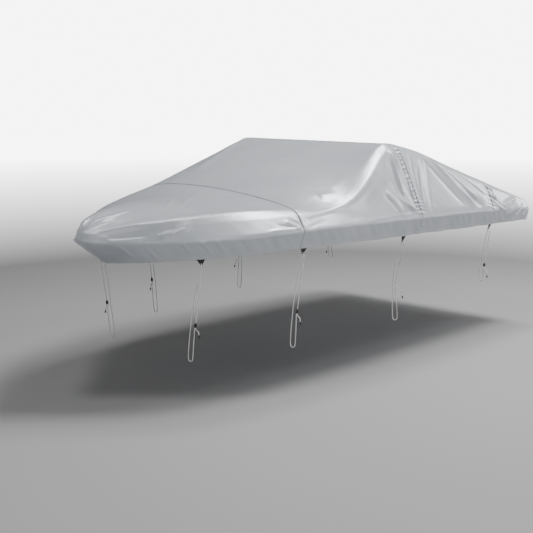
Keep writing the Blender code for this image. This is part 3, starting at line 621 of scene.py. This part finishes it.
# ---- materials
class Nodes:
    """Short ways to add and join the nodes of a material or of the world."""

    def __init__(self, owner):
        owner.use_nodes = True
        self.owner = owner
        self.tree = owner.node_tree
        self.shader = self.tree.nodes.get("Principled BSDF")

    def add(self, kind, **settings):
        node = self.tree.nodes.new(kind)
        for key, value in settings.items():
            setattr(node, key, value)
        return node

    def put(self, value, socket):
        if isinstance(value, (int, float, tuple)):
            socket.default_value = value
        else:
            self.tree.links.new(value, socket)

    def fill(self, sockets, *values):
        for value, socket in zip(values, sockets):
            self.put(value, socket)

    def look(self, **values):
        """Puts values on the shader; a name's underscores stand for spaces."""
        for name, value in values.items():
            self.put(value, self.shader.inputs[name.replace("_", " ")])

    def calc(self, operation, *values):
        node = self.add("ShaderNodeMath", operation=operation)
        self.fill(node.inputs, *values)
        return node.outputs[0]

    def wave(self, value, pitch):
        return self.calc("SINE", self.calc("MULTIPLY", value, 2 * math.pi / pitch))

    def noise(self, vector, scale, detail):
        node = self.add("ShaderNodeTexNoise")
        names = ("Vector", "Scale", "Detail", "Roughness")
        self.fill([node.inputs[k] for k in names], vector, scale, detail, NOISE_ROUGHNESS)
        return node.outputs["Fac"]

    def spread(self, value, low, high, out_low=0.0, out_high=1.0):
        node = self.add("ShaderNodeMapRange")
        self.fill(node.inputs, value, low, high, out_low, out_high)
        return node.outputs[0]

    def mix(self, share, first, second):
        node = self.add("ShaderNodeMix", data_type="RGBA")
        self.fill([node.inputs[k] for k in ("Factor", 6, 7)], share, first, second)
        return node.outputs[2]

    def bump(self, height, distance, strength, before=None):
        node = self.add("ShaderNodeBump")
        self.fill([node.inputs[k] for k in ("Distance", "Strength", "Height")],
                  distance, strength, height)
        if before is not None:
            self.put(before, node.inputs["Normal"])
        return node.outputs[0]

    def attribute(self, name):
        return self.add("ShaderNodeAttribute", attribute_name=name).outputs["Fac"]

    def places(self, kind):
        """Coordinates of that kind, and their three parts."""
        vector = self.add("ShaderNodeTexCoord").outputs[kind]
        parts = self.add("ShaderNodeSeparateXYZ")
        self.put(vector, parts.inputs[0])
        return vector, *parts.outputs


NOISE_ROUGHNESS = 0.55
NOISE_SPAN = (0.3, 0.7)   # a noise's values mostly lie between these
CLOTH_BASE = (0.425, 0.447, 0.482, 1.0)
CLOTH_WORN = (0.462, 0.484, 0.517, 1.0)
# painted highlight: the hem band's lighter tint
HEM_HIGHLIGHT_TINT = (0.47, 0.488, 0.515, 1.0)
THREAD = (0.30, 0.31, 0.325, 1.0)
CLOTH_ROUGHNESS = (0.30, 0.39)
CLOTH_METAL = 0.35        # the silver coating
WEAVE_PITCH = 0.0011
HEM_BLUR = 0.002          # the painted highlight on the hem band ends over this width to each side
SEAM_SHADE = 0.0130       # painted shade darkens the cloth this far beside a seam
SHADE_TINT = (0.06, 0.063, 0.07, 1.0)
SEAM_DARK = 0.9           # how strong the painted shade is beside a seam, and beside the band's second row
BAND_DARK = 0.5
ON_SKIRT = 0.3            # and what share of it shows on the skirt
SKIRT_ENDS = (0.15, 0.22)  # which ends between these distances from the hem's edge
STITCH = 0.0042           # one stitch and the space after it
STITCH_ROWS = 0.0060      # from a seam to its row of stitches
STITCH_LINE = (0.0004, 0.0012)  # a thread's half width, sharp and faded
STITCH_SPACE = (0.30, 0.38)     # and how far from the stitch's middle it reaches
HEM_STITCH_IN = 0.004     # from the hem's inner edge to its row of stitches
# painted shade in the braid's grooves
ROPE_GROOVE_SHADE = (0.55, 0.55, 0.53, 1.0)
ROPE_PALE = (0.86, 0.86, 0.84, 1.0)
ROPE_STRANDS = 8.0        # strands round the rope each way
ROPE_CLIMB = 0.0085       # and the length over which one moves on by its own width
# painted shade in the weave's hollows
WEBBING_HOLLOW_SHADE = (0.010, 0.010, 0.011, 1.0)
WEBBING_PALE = (0.030, 0.030, 0.032, 1.0)
WEBBING_PITCH = (0.0022, 0.0016)
PLASTIC_DARK = (0.013, 0.013, 0.014, 1.0)
PLASTIC_RUBBED = (0.035, 0.035, 0.037, 1.0)


def cloth_material():
    """Coated cloth: a fine weave, uneven colour, a painted highlight on the hem band, stitches and painted
    shade beside the seams.
    """
    n = Nodes(bpy.data.materials.new("coated_cloth"))
    vector, along, girth, _ = n.places("UV")
    seam, hem, band = (n.attribute(f"{k}_gap") for k in ("seam", "hem", "band"))
    patch = n.noise(vector, scale=3.0, detail=4.0)
    gloss = n.noise(vector, scale=60.0, detail=3.0)
    colour = n.mix(n.spread(patch, *NOISE_SPAN), CLOTH_BASE, CLOTH_WORN)
    # painted highlight: the hem band is tinted lighter, where its doubled edge would catch light
    hem_highlight = n.spread(hem, HEM_BAND - HEM_BLUR, HEM_BAND + HEM_BLUR, 1.0, 0.0)
    colour = n.mix(hem_highlight, colour, HEM_HIGHLIGHT_TINT)

    def row(distance, place, run):
        """A row of stitches at that distance, as a mask with a gap after each stitch."""
        near = n.calc("ABSOLUTE", n.calc("SUBTRACT", distance, place))
        step = n.calc("FRACT", n.calc("DIVIDE", run, STITCH))
        middle = n.calc("ABSOLUTE", n.calc("SUBTRACT", step, 0.5))
        return n.calc("MULTIPLY", n.spread(near, *STITCH_LINE, 1.0, 0.0),
                      n.spread(middle, *STITCH_SPACE, 1.0, 0.0))

    high = n.spread(hem, *SKIRT_ENDS, ON_SKIRT, 1.0)
    sewn = n.calc("MAXIMUM", row(seam, STITCH_ROWS, girth), row(band, 0.0, girth))
    stitches = n.calc("MAXIMUM", n.calc("MULTIPLY", sewn, high),
                      row(hem, HEM_BAND - HEM_STITCH_IN, along))
    colour = n.mix(stitches, colour, THREAD)
    # painted shade beside the seams, the nose's centre seam and the band's second row
    shade = n.calc("MAXIMUM", n.spread(seam, 0.0, SEAM_SHADE, SEAM_DARK, 0.0),
                   n.spread(band, 0.0, SEAM_SHADE, BAND_DARK, 0.0))
    weave = n.calc("MULTIPLY", n.wave(along, WEAVE_PITCH), n.wave(girth, WEAVE_PITCH))
    normal = n.bump(weave, distance=0.0002, strength=0.25)
    dents = n.noise(vector, scale=26.0, detail=4.0)
    normal = n.bump(dents, distance=0.0030, strength=0.12, before=normal)
    n.look(Base_Color=n.mix(n.calc("MULTIPLY", shade, high), colour, SHADE_TINT),
           Roughness=n.spread(gloss, *NOISE_SPAN, *CLOTH_ROUGHNESS), Metallic=CLOTH_METAL,
           Normal=n.bump(stitches, distance=0.0008, strength=0.6, before=normal))
    return n.owner


def rope_material():
    """Braided rope: two sets of strands that cross, with painted shade in the grooves between them, on UVs of
    turn and length.
    """
    n = Nodes(bpy.data.materials.new("braided_rope"))
    _, turn, length, _ = n.places("UV")
    strands = n.calc("MULTIPLY", turn, ROPE_STRANDS)
    climb = n.calc("DIVIDE", length, ROPE_CLIMB)
    left, right = (n.wave(n.calc(way, strands, climb), 2.0) for way in ("ADD", "SUBTRACT"))
    braid = n.calc("ABSOLUTE", n.calc("MULTIPLY", left, right))
    # painted shade: the rope is darker where its bump sinks between strands
    n.look(Base_Color=n.mix(n.spread(braid, 0.0, 0.5), ROPE_GROOVE_SHADE, ROPE_PALE), Roughness=0.75,
           Normal=n.bump(braid, distance=0.0009, strength=0.9))
    return n.owner


def webbing_material():
    """Black webbing: ribs across a coarse weave, with painted shade in its hollows."""
    n = Nodes(bpy.data.materials.new("black_webbing"))
    _, across, _, down = n.places("Object")
    weave = n.calc("MULTIPLY", n.wave(across, WEBBING_PITCH[0]), n.wave(down, WEBBING_PITCH[1]))
    # painted shade: darker where the weave's bump sinks
    n.look(Base_Color=n.mix(n.spread(weave, -1.0, 1.0), WEBBING_HOLLOW_SHADE, WEBBING_PALE),
           Roughness=0.8, Normal=n.bump(weave, distance=0.0006, strength=0.7))
    return n.owner


def plastic_material():
    """Moulded black plastic with a fine grain and lighter, rubbed patches."""
    n = Nodes(bpy.data.materials.new("moulded_plastic"))
    place = n.places("Object")[0]
    rubbed = n.noise(place, scale=60.0, detail=3.0)
    grain = n.noise(place, scale=900.0, detail=2.0)
    n.look(Base_Color=n.mix(n.spread(rubbed, 0.45, 0.75), PLASTIC_DARK, PLASTIC_RUBBED),
           Roughness=n.spread(rubbed, *NOISE_SPAN, 0.34, 0.5),
           Normal=n.bump(grain, distance=0.0002, strength=0.3))
    return n.owner


CLOTH_LOOK = cloth_material()
ROPE_LOOK = rope_material()
WEBBING_LOOK = webbing_material()
PLASTIC_LOOK = plastic_material()

# ---- ties, as in the part
ROPE = 0.007
TAB_WIDTH = 0.066
TAB_DROP = 0.052          # from the hem's edge down to the tab's tip
TAB_LAP = 0.018           # and how far up behind the hem the tab reaches
TAB_THICK = 0.002
TAB_BEVEL = 0.0002
TAB_CORNER = 0.004        # the tab keeps its whole width down to here
TAB_TIP = 0.009           # radius of its rounded tip
TAB_HOLE = 0.011
HOLE_SIDES = 8            # of the part's own hole
TAB_HOLE_UP = 0.014       # from the tip up to the hole's middle
CROSSING = 0.0035         # the loop's points, out from the hole's middle and down from it
BIGHT = 0.012
BIGHT_TURN = 0.008
BIGHT_FALL = 0.030
LOCK_WIDE = 0.022
LOCK_HIGH = 0.034
KNOT_WIDE = 0.020
KNOT_HIGH = 0.025
STOP_WIDE = 0.013
STOP_HIGH = 0.024
FOOT_TURN = 0.023         # radius of the loop's lower end
FOOT_POINTS = 5
STRAIGHT_END = 0.012      # each rope runs straight out of its fitting for this length
STRAND_BOW = 0.004        # how far a strand bows out of its straight line
STRAND_LIFT = 0.020       # and how far above the holder the inner one is widest
STRAND_STEP = 0.00484     # below the lock the loop and the tail lie this far off its middle
TAIL_BOW = 0.012
# The part's own count of steps for each stretch of a route
LOOP_STEPS = (1, 3, 2, 1, 2, 1, 2, 1, 2, 3, 3, 2, 2, 2, 2, 3, 1)
TAIL_STEPS = (1, 2, 2, 1)
TIE_COLUMNS = ("x", "foot_in", "foot_drop", "lock_drop", "lock_in", "spread",
               "tail_out", "tail_drop", "holder")
# From the tab's tip: in and drop are the ways inboard and down to the loop's foot and to
# the holder, and the tail's end lies that far out from the holder and below it
TIES = (
    (-1.864, 0.131, 0.725, 0.444, 0.070, 0.050, 0.032, 0.082, "lock"),
    (-1.121, 0.097, 0.728, 0.440, 0.052, 0.045, 0.028, 0.090, "lock"),
    (0.040, 0.060, 0.671, 0.344, 0.057, 0.030, 0.066, 0.120, "knot"),
    (1.434, 0.063, 0.497, 0.338, 0.029, 0.030, 0.030, 0.112, "lock"),
)
FINER = 4                 # points of the dressed rope for each of the part's
HEM_STATIONS = (1.0, 17.0, 400)  # where a tab's place is looked for, and in how many steps
HEM_UP = 0.2              # and how far up the girth the cloth's fall is taken, in lines
HEM_NEXT = 3              # the hem's run is taken over this many steps to each side
DEPTH_REACH = 0.05        # the cloth behind a tab is looked for this far to each side
DEPTH_GRID = (13, 5)      # from that many places across the tab and up it
# Turned pieces: shares of the half width at depths below the top, then at heights above
# the lower end
LOCK_TOP = ((0.10, 0), (0.42, 0.0003), (0.52, 0.0015), (0.52, 0.0075), (0.50, 0.0080),
            (0.80, 0.0086), (0.92, 0.0100))
LOCK_END = ((0.86, 0.0020), (0.70, 0.0003), (0.30, 0))
LOCK_BODY = (0.0112, 0.0152)   # its body starts this deep, and is this much the shorter
LOCK_SWELL = (0.93, 0.07)      # and swells from that share by that share
RIBS = 12
RIB_DEPTH = 0.0004
STOP_TOP = ((0.56, 0), (0.64, 0.0006), (0.66, 0.0030), (0.74, 0.0040), (0.80, 0.0060),
            (0.88, 0.0110))
STOP_END = ((0.97, 0.0075), (1, 0.0055), (0.98, 0.0025), (0.86, 0.0006), (0.55, 0))
KNOT_POINTS = 48
KNOT_FLAT = (0.62, 0.38)  # the knot's radius, its wave, its height and its rope's, as shares
KNOT_RISE = 0.85
KNOT_ROPE = 0.98


def panel_tree(node):
    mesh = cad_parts[node].data
    return BVHTree.FromPolygons([v.co for v in mesh.vertices],
                                [tuple(face.vertices) for face in mesh.polygons])


panel_trees = [panel_tree(row[0]) for row in PANELS]


def hem_frame(x, side):
    """The hem's outer edge point at x on one side, and the directions along and down it."""
    us = np.linspace(*HEM_STATIONS)
    last = len(ROW_SOFT) - 1
    lines = (0.0, HEM_UP) if side < 0 else (last - HEM_UP, float(last))
    low, high = cover_surface(us, lines).transpose(1, 0, 2)
    edge, above = (low, high) if side < 0 else (high, low)
    k = int(np.argmin(np.abs(edge[:, 0] - x)))
    along = Vector(edge[k + HEM_NEXT] - edge[k - HEM_NEXT]).normalized()
    down = Vector(edge[k] - above[k]).normalized()
    down = (down - along * down.dot(along)).normalized()
    return Vector(edge[k]), along, down


def cloth_depth(edge, along, down, outward):
    """How far inboard of the hem's edge the cloth reaches where a tab is sewn behind it."""
    nearest = DEPTH_REACH
    for across in np.linspace(-TAB_WIDTH / 2, TAB_WIDTH / 2, DEPTH_GRID[0]):
        for above in np.linspace(0.0, TAB_LAP, DEPTH_GRID[1]):
            origin = edge + along * across - down * above - outward * DEPTH_REACH
            for tree in panel_trees:
                distance = tree.ray_cast(origin, outward, 2 * DEPTH_REACH)[3]
                if distance is not None:
                    nearest = min(nearest, distance)
    return DEPTH_REACH - nearest


def smooth_route(knots, steps):
    """A smooth curve through the route's own points; steps is a count for each stretch."""
    knots = [Vector(k) for k in knots]
    ends = [2 * knots[0] - knots[1], *knots, 2 * knots[-1] - knots[-2]]
    route = []
    for k in range(1, len(ends) - 2):
        a, b, c, d = ends[k - 1:k + 3]
        near = (b - a).length ** 0.5
        mid = (c - b).length ** 0.5
        far = (d - c).length ** 0.5
        out_b = ((b - a) / near - (c - a) / (near + mid) + (c - b) / mid) * mid
        in_c = ((c - b) / mid - (d - b) / (mid + far) + (d - c) / far) * mid
        for i in range(steps[k - 1]):
            t = i / steps[k - 1]
            route.append(b * (2 * t ** 3 - 3 * t ** 2 + 1) + out_b * (t ** 3 - 2 * t ** 2 + t)
                         + c * (3 * t ** 2 - 2 * t ** 3) + in_c * (t ** 3 - t ** 2))
    route.append(knots[-1])
    return route


def ring_mesh(name, verts, sides, material, flip=False):
    """A mesh of rings of points, each joined to the next, with both ends closed."""
    faces = []
    for k in range(0, len(verts) - sides, sides):
        for i in range(sides):
            a, b = k + i, k + (i + 1) % sides
            faces.append((b, a, a + sides, b + sides) if flip else (a, b, b + sides, a + sides))
    first, last = range(sides), range(len(verts) - sides, len(verts))
    faces.append(tuple(first if flip else reversed(first)))
    faces.append(tuple(reversed(last) if flip else last))
    mesh = bpy.data.meshes.new(name)
    mesh.from_pydata(verts, [], faces)
    mesh.shade_smooth()
    mesh.materials.append(material)
    return mesh


def tube(name, route, radius, material, sides=14):
    """A rope as a mesh tube, its UVs the turn round it and the length along it."""
    verts, uvs = [], []
    length = 0.0
    side = None
    for k, place in enumerate(route):
        before = route[max(k - 1, 0)]
        after = route[min(k + 1, len(route) - 1)]
        ahead = (after - before).normalized()
        if side is None:
            side = ahead.orthogonal().normalized()
        side = (side - ahead * side.dot(ahead)).normalized()
        other = ahead.cross(side)
        length += (place - before).length
        for i in range(sides):
            turn = 2 * math.pi * i / sides
            verts.append(place + (side * math.cos(turn) + other * math.sin(turn)) * radius)
            uvs.append((i / sides, length))
    mesh = ring_mesh(name, verts, sides, material)
    layer = mesh.uv_layers.new(name="rope")
    for polygon in mesh.polygons:
        wraps = max(v % sides for v in polygon.vertices) == sides - 1
        for loop in polygon.loop_indices:
            turn, run = uvs[mesh.loops[loop].vertex_index]
            if wraps and turn == 0 and len(polygon.vertices) == 4:
                turn = 1.0
            layer.data[loop].uv = (turn, run)
    return add_object(name, mesh)


def turned(name, profile, place, axis, sides=32):
    """A turned plastic piece from a profile of radius and height, its axis along axis."""
    turn_to = Vector((0, 0, 1)).rotation_difference(axis)
    verts = []
    for radius, height in profile:
        for i in range(sides):
            turn = 2 * math.pi * i / sides
            point = Vector((radius * math.cos(turn), radius * math.sin(turn), height))
            verts.append(place + turn_to @ point)
    return add_object(name, ring_mesh(name, verts, sides, PLASTIC_LOOK, flip=True))


def outline(top, body, end, wide, half):
    """A turned piece's profile, from its half width and half height."""
    return [*((share * wide, half - depth) for share, depth in top), *body,
            *((share * wide, -half + up) for share, up in end)]


def lock_piece(name, place, axis):
    """A barrel cord lock: push button, collar and ribbed body."""
    half, wide = LOCK_HIGH / 2, LOCK_WIDE / 2
    body = []
    for i in range(RIBS + 1):
        t = i / RIBS
        swell = LOCK_SWELL[0] + LOCK_SWELL[1] * math.sin(math.pi * t)
        body.append((wide * swell - RIB_DEPTH * (i % 2),
                     half - LOCK_BODY[0] - t * (LOCK_HIGH - LOCK_BODY[1])))
    return turned(name, outline(LOCK_TOP, body, LOCK_END, wide, half), place, axis)


def stop_piece(name, place, axis):
    """The bell-shaped end stop on a free end."""
    profile = outline(STOP_TOP, [], STOP_END, STOP_WIDE / 2, STOP_HIGH / 2)
    return turned(name, profile, place, axis)


def knot_piece(name, place, axis):
    """The overhand knot that closes the third tie, as one turn of rope through itself."""
    turn_to = Vector((0, 0, 1)).rotation_difference(axis)
    wide = KNOT_WIDE / 2 - ROPE / 2
    route = []
    for i in range(KNOT_POINTS + 1):
        t = 2 * math.pi * i / KNOT_POINTS
        flat = wide * (KNOT_FLAT[0] + KNOT_FLAT[1] * math.cos(3 * t))
        point = Vector((flat * math.cos(2 * t), flat * math.sin(2 * t),
                        KNOT_RISE * wide * math.sin(3 * t)))
        route.append(place + turn_to @ point)
    return tube(name, route, ROPE / 2 * KNOT_ROPE, ROPE_LOOK)


def arc(radius, up, turns):
    return [(radius * math.cos(turn), up + radius * math.sin(turn)) for turn in turns]


def tab_piece(name, middle, along, down):
    """A folded webbing triangle: rounded tip, bevelled edges and a round hole."""
    curve = bpy.data.curves.new(name, "CURVE")
    curve.dimensions = "2D"
    curve.fill_mode = "BOTH"
    curve.extrude = TAB_THICK / 2 - TAB_BEVEL
    curve.bevel_depth = TAB_BEVEL
    curve.bevel_resolution = 1
    half, low = TAB_WIDTH / 2, -TAB_DROP + TAB_TIP
    rim = [(-half, TAB_LAP), (half, TAB_LAP), (half, TAB_CORNER), (TAB_TIP, low),
           *arc(TAB_TIP, low, [-math.pi * i / 8 for i in range(1, 8)]),
           (-TAB_TIP, low), (-half, TAB_CORNER)]
    hole = arc(TAB_HOLE / 2 * math.cos(math.pi / HOLE_SIDES), -TAB_DROP + TAB_HOLE_UP,
               [2 * math.pi * k / 24 for k in range(24)])
    for places in (rim, hole):
        spline = curve.splines.new("POLY")
        spline.points.add(len(places) - 1)
        spline.use_cyclic_u = True
        for point, (u, v) in zip(spline.points, places):
            point.co = (u, v, 0, 1)
    curve.materials.append(WEBBING_LOOK)
    obj = add_object(name, curve)
    up = -down
    place = Matrix((along, up, along.cross(up))).transposed().to_4x4()
    place.translation = middle
    obj.matrix_world = place
    return obj


def half_turn(lowest, inboard, drop):
    """Points of the loop's round lower end, from its inboard to its outboard side."""
    centre = lowest - drop * FOOT_TURN
    turns = np.linspace(0, math.pi, FOOT_POINTS)
    return [centre + (inboard * math.cos(a) + drop * math.sin(a)) * FOOT_TURN for a in turns]


def finish_piece(obj, node):
    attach(obj, "root")
    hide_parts(node)


def tie(number, row, side):
    """One tie, its pieces on the part's own places and routes."""
    tag = ("port" if side < 0 else "starboard") + f"_{number}"
    edge, along, down = hem_frame(row["x"], side)
    outward = along.cross(down) * (1 if along.cross(down).y * side > 0 else -1)
    behind = cloth_depth(edge, along, down, outward) + GAP
    middle = edge - outward * (behind + TAB_THICK / 2)
    finish_piece(tab_piece(f"webbing_{tag}", middle, along, down), f"tab_{tag}")
    rest = TAB_HOLE / 2 * math.cos(math.pi / HOLE_SIDES) - ROPE / 2 - GAP
    hole = middle + down * (TAB_DROP - TAB_HOLE_UP + rest)
    inboard = Vector((0, -side, 0))
    drop = Vector((0, 0, -1))
    tip = hole + drop * TAB_HOLE_UP
    foot = tip + inboard * row["foot_in"] + drop * row["foot_drop"]
    run = (foot - tip).normalized()
    lock_at = tip + inboard * row["lock_in"] + drop * row["lock_drop"]
    lock_half = (LOCK_HIGH if row["holder"] == "lock" else KNOT_HIGH) / 2
    lock_top = lock_at - run * (lock_half + GAP)
    lock_end = lock_at + run * (lock_half + GAP)
    inner = lock_at + inboard * row["spread"] - run * STRAND_LIFT
    bight_out = hole + outward * BIGHT
    bight_in = hole - outward * BIGHT
    side_step = Vector((STRAND_STEP, 0, 0))
    knots = [
        lock_top,
        lock_top - run * STRAIGHT_END,
        lock_top.lerp(bight_out, 0.5) + outward * STRAND_BOW,
        bight_out + drop * BIGHT_FALL,
        bight_out + drop * BIGHT_TURN,
        hole + outward * CROSSING,
        hole - outward * CROSSING,
        bight_in + drop * BIGHT_TURN,
        bight_in + drop * BIGHT_FALL,
        inner.lerp(bight_in, 0.5) + inboard * STRAND_BOW,
        inner,
        *half_turn(foot, inboard, drop),
        lock_end - side_step + run * STRAIGHT_END,
        lock_end - side_step,
    ]
    route = smooth_route(knots, [FINER * s for s in LOOP_STEPS])
    rope = tube(f"loop_{tag}", route, ROPE / 2, ROPE_LOOK)
    finish_piece(rope, f"rope_{tag}")
    kind = row["holder"]
    maker = lock_piece if kind == "lock" else knot_piece
    holder = maker(f"{kind}_piece_{tag}", lock_at, -run)
    finish_piece(holder, f"{kind}_{tag}")
    tail_start = lock_end + side_step
    stop_at = lock_at - inboard * row["tail_out"] + drop * row["tail_drop"] + side_step
    bend = tail_start.lerp(stop_at, 0.5) - inboard * TAIL_BOW
    fall = (stop_at - bend).normalized()
    stop_top = stop_at - fall * (STOP_HIGH / 2 + GAP)
    knots = [tail_start, tail_start + run * STRAIGHT_END, bend,
             stop_top - fall * STRAIGHT_END, stop_top]
    tail_route = smooth_route(knots, [FINER * s for s in TAIL_STEPS])
    tail = tube(f"free_end_{tag}", tail_route, ROPE / 2, ROPE_LOOK)
    finish_piece(tail, f"tail_{tag}")
    stop = stop_piece(f"end_stop_{tag}", stop_at, -fall)
    finish_piece(stop, f"stop_{tag}")


for tie_number, tie_row in enumerate(table(TIE_COLUMNS, TIES), start=1):
    for hull_side in (-1, 1):
        tie(tie_number, tie_row, hull_side)

for panel, first_station, last_station, flat_width, flat_length, flat_area in PANELS:
    piece = cloth(panel, first_station, last_station, CLOTH_LOOK)
    finish_piece(piece, panel)

# ---- studio
WHITE = (1.0, 1.0, 1.0, 1.0)
FLOOR_SIZE = 160.0
FLOOR_PALE = (0.31, 0.31, 0.315, 1.0)
SKY_ZENITH = 0.35
SKY_HORIZON = 0.06
BACKDROP = 7.0
FLOOR_FADE = (6.0, 40.0)   # metres out, over which the floor brightens to the backdrop
# Soft lights: place, point that each faces, width and height in metres, and power
LIGHT_COLUMNS = ("name", "place", "faces", "width", "height", "power")
LIGHTS = (
    ("near_high", (1.9, -2.8, 6.6), (0.0, -0.3, -0.4), 2.0, 2.0, 740),
    ("zenith", (1.9, -0.5, 5.9), (0.0, -0.3, -0.4), 1.4, 1.4, 270),
    ("after_low", (8.9, -2.9, 1.9), (0.8, -0.5, -0.4), 2.6, 1.8, 150),
    ("crest", (3.3, -4.0, 4.3), (-0.1, -0.9, -0.3), 0.8, 0.8, 85),
    ("near_low", (3.4, -6.8, 2.1), (-0.2, -0.9, -0.5), 1.6, 1.2, 75),
    ("bow_low", (-5.4, -6.5, 2.3), (-2.0, -0.5, -0.6), 3.0, 2.0, 80),
    ("bow_high", (-3.4, -1.2, 5.4), (-1.4, -0.3, -0.5), 1.2, 1.2, 130),
)


def area_light(row):
    data = bpy.data.lights.new(row["name"], "AREA")
    data.energy = row["power"]
    data.shape = "RECTANGLE"
    data.size = row["width"]
    data.size_y = row["height"]
    light = add_object(row["name"], data)
    light.visible_camera = False
    aim(light, row["place"], Vector(row["faces"]) - Vector(row["place"]))


def floor_look():
    """Pale floor that brightens far off, so that it meets the backdrop without a line."""
    n = Nodes(bpy.data.materials.new("floor"))
    away = n.add("ShaderNodeVectorMath", operation="LENGTH")
    n.put(n.places("Object")[0], away.inputs[0])
    n.look(Base_Color=FLOOR_PALE, Roughness=0.9, Specular_IOR_Level=0.1, Emission_Color=WHITE,
           Emission_Strength=n.spread(away.outputs["Value"], *FLOOR_FADE, 0.0, BACKDROP))
    return n.owner


def sky_look():
    """A sky that is brighter above lights the cloth, and the camera sees the backdrop."""
    n = Nodes(bpy.data.worlds.new("studio"))
    sky = n.tree.nodes["Background"]
    rise = n.places("Generated")[3]
    n.fill(sky.inputs, WHITE, n.spread(rise, 0.0, 1.0, SKY_HORIZON, SKY_ZENITH))
    backdrop = n.add("ShaderNodeBackground")
    n.fill(backdrop.inputs, WHITE, BACKDROP)
    seen = n.add("ShaderNodeMixShader")
    path = n.add("ShaderNodeLightPath")
    n.fill(seen.inputs, path.outputs["Is Camera Ray"], sky.outputs[0], backdrop.outputs[0])
    n.put(seen.outputs[0], n.tree.nodes["World Output"].inputs["Surface"])
    return n.owner


def studio():
    mesh = bpy.data.meshes.new("floor")
    half = FLOOR_SIZE / 2
    corners = [(-half, -half, 0), (half, -half, 0), (half, half, 0), (-half, half, 0)]
    mesh.from_pydata(corners, [], [(0, 1, 2, 3)])
    floor = add_object("floor", mesh)
    floor.location.z = GROUND_Z
    mesh.materials.append(floor_look())
    bpy.context.scene.world = sky_look()
    for row in table(LIGHT_COLUMNS, LIGHTS):
        area_light(row)


studio()

bpy.context.view_layer.update()
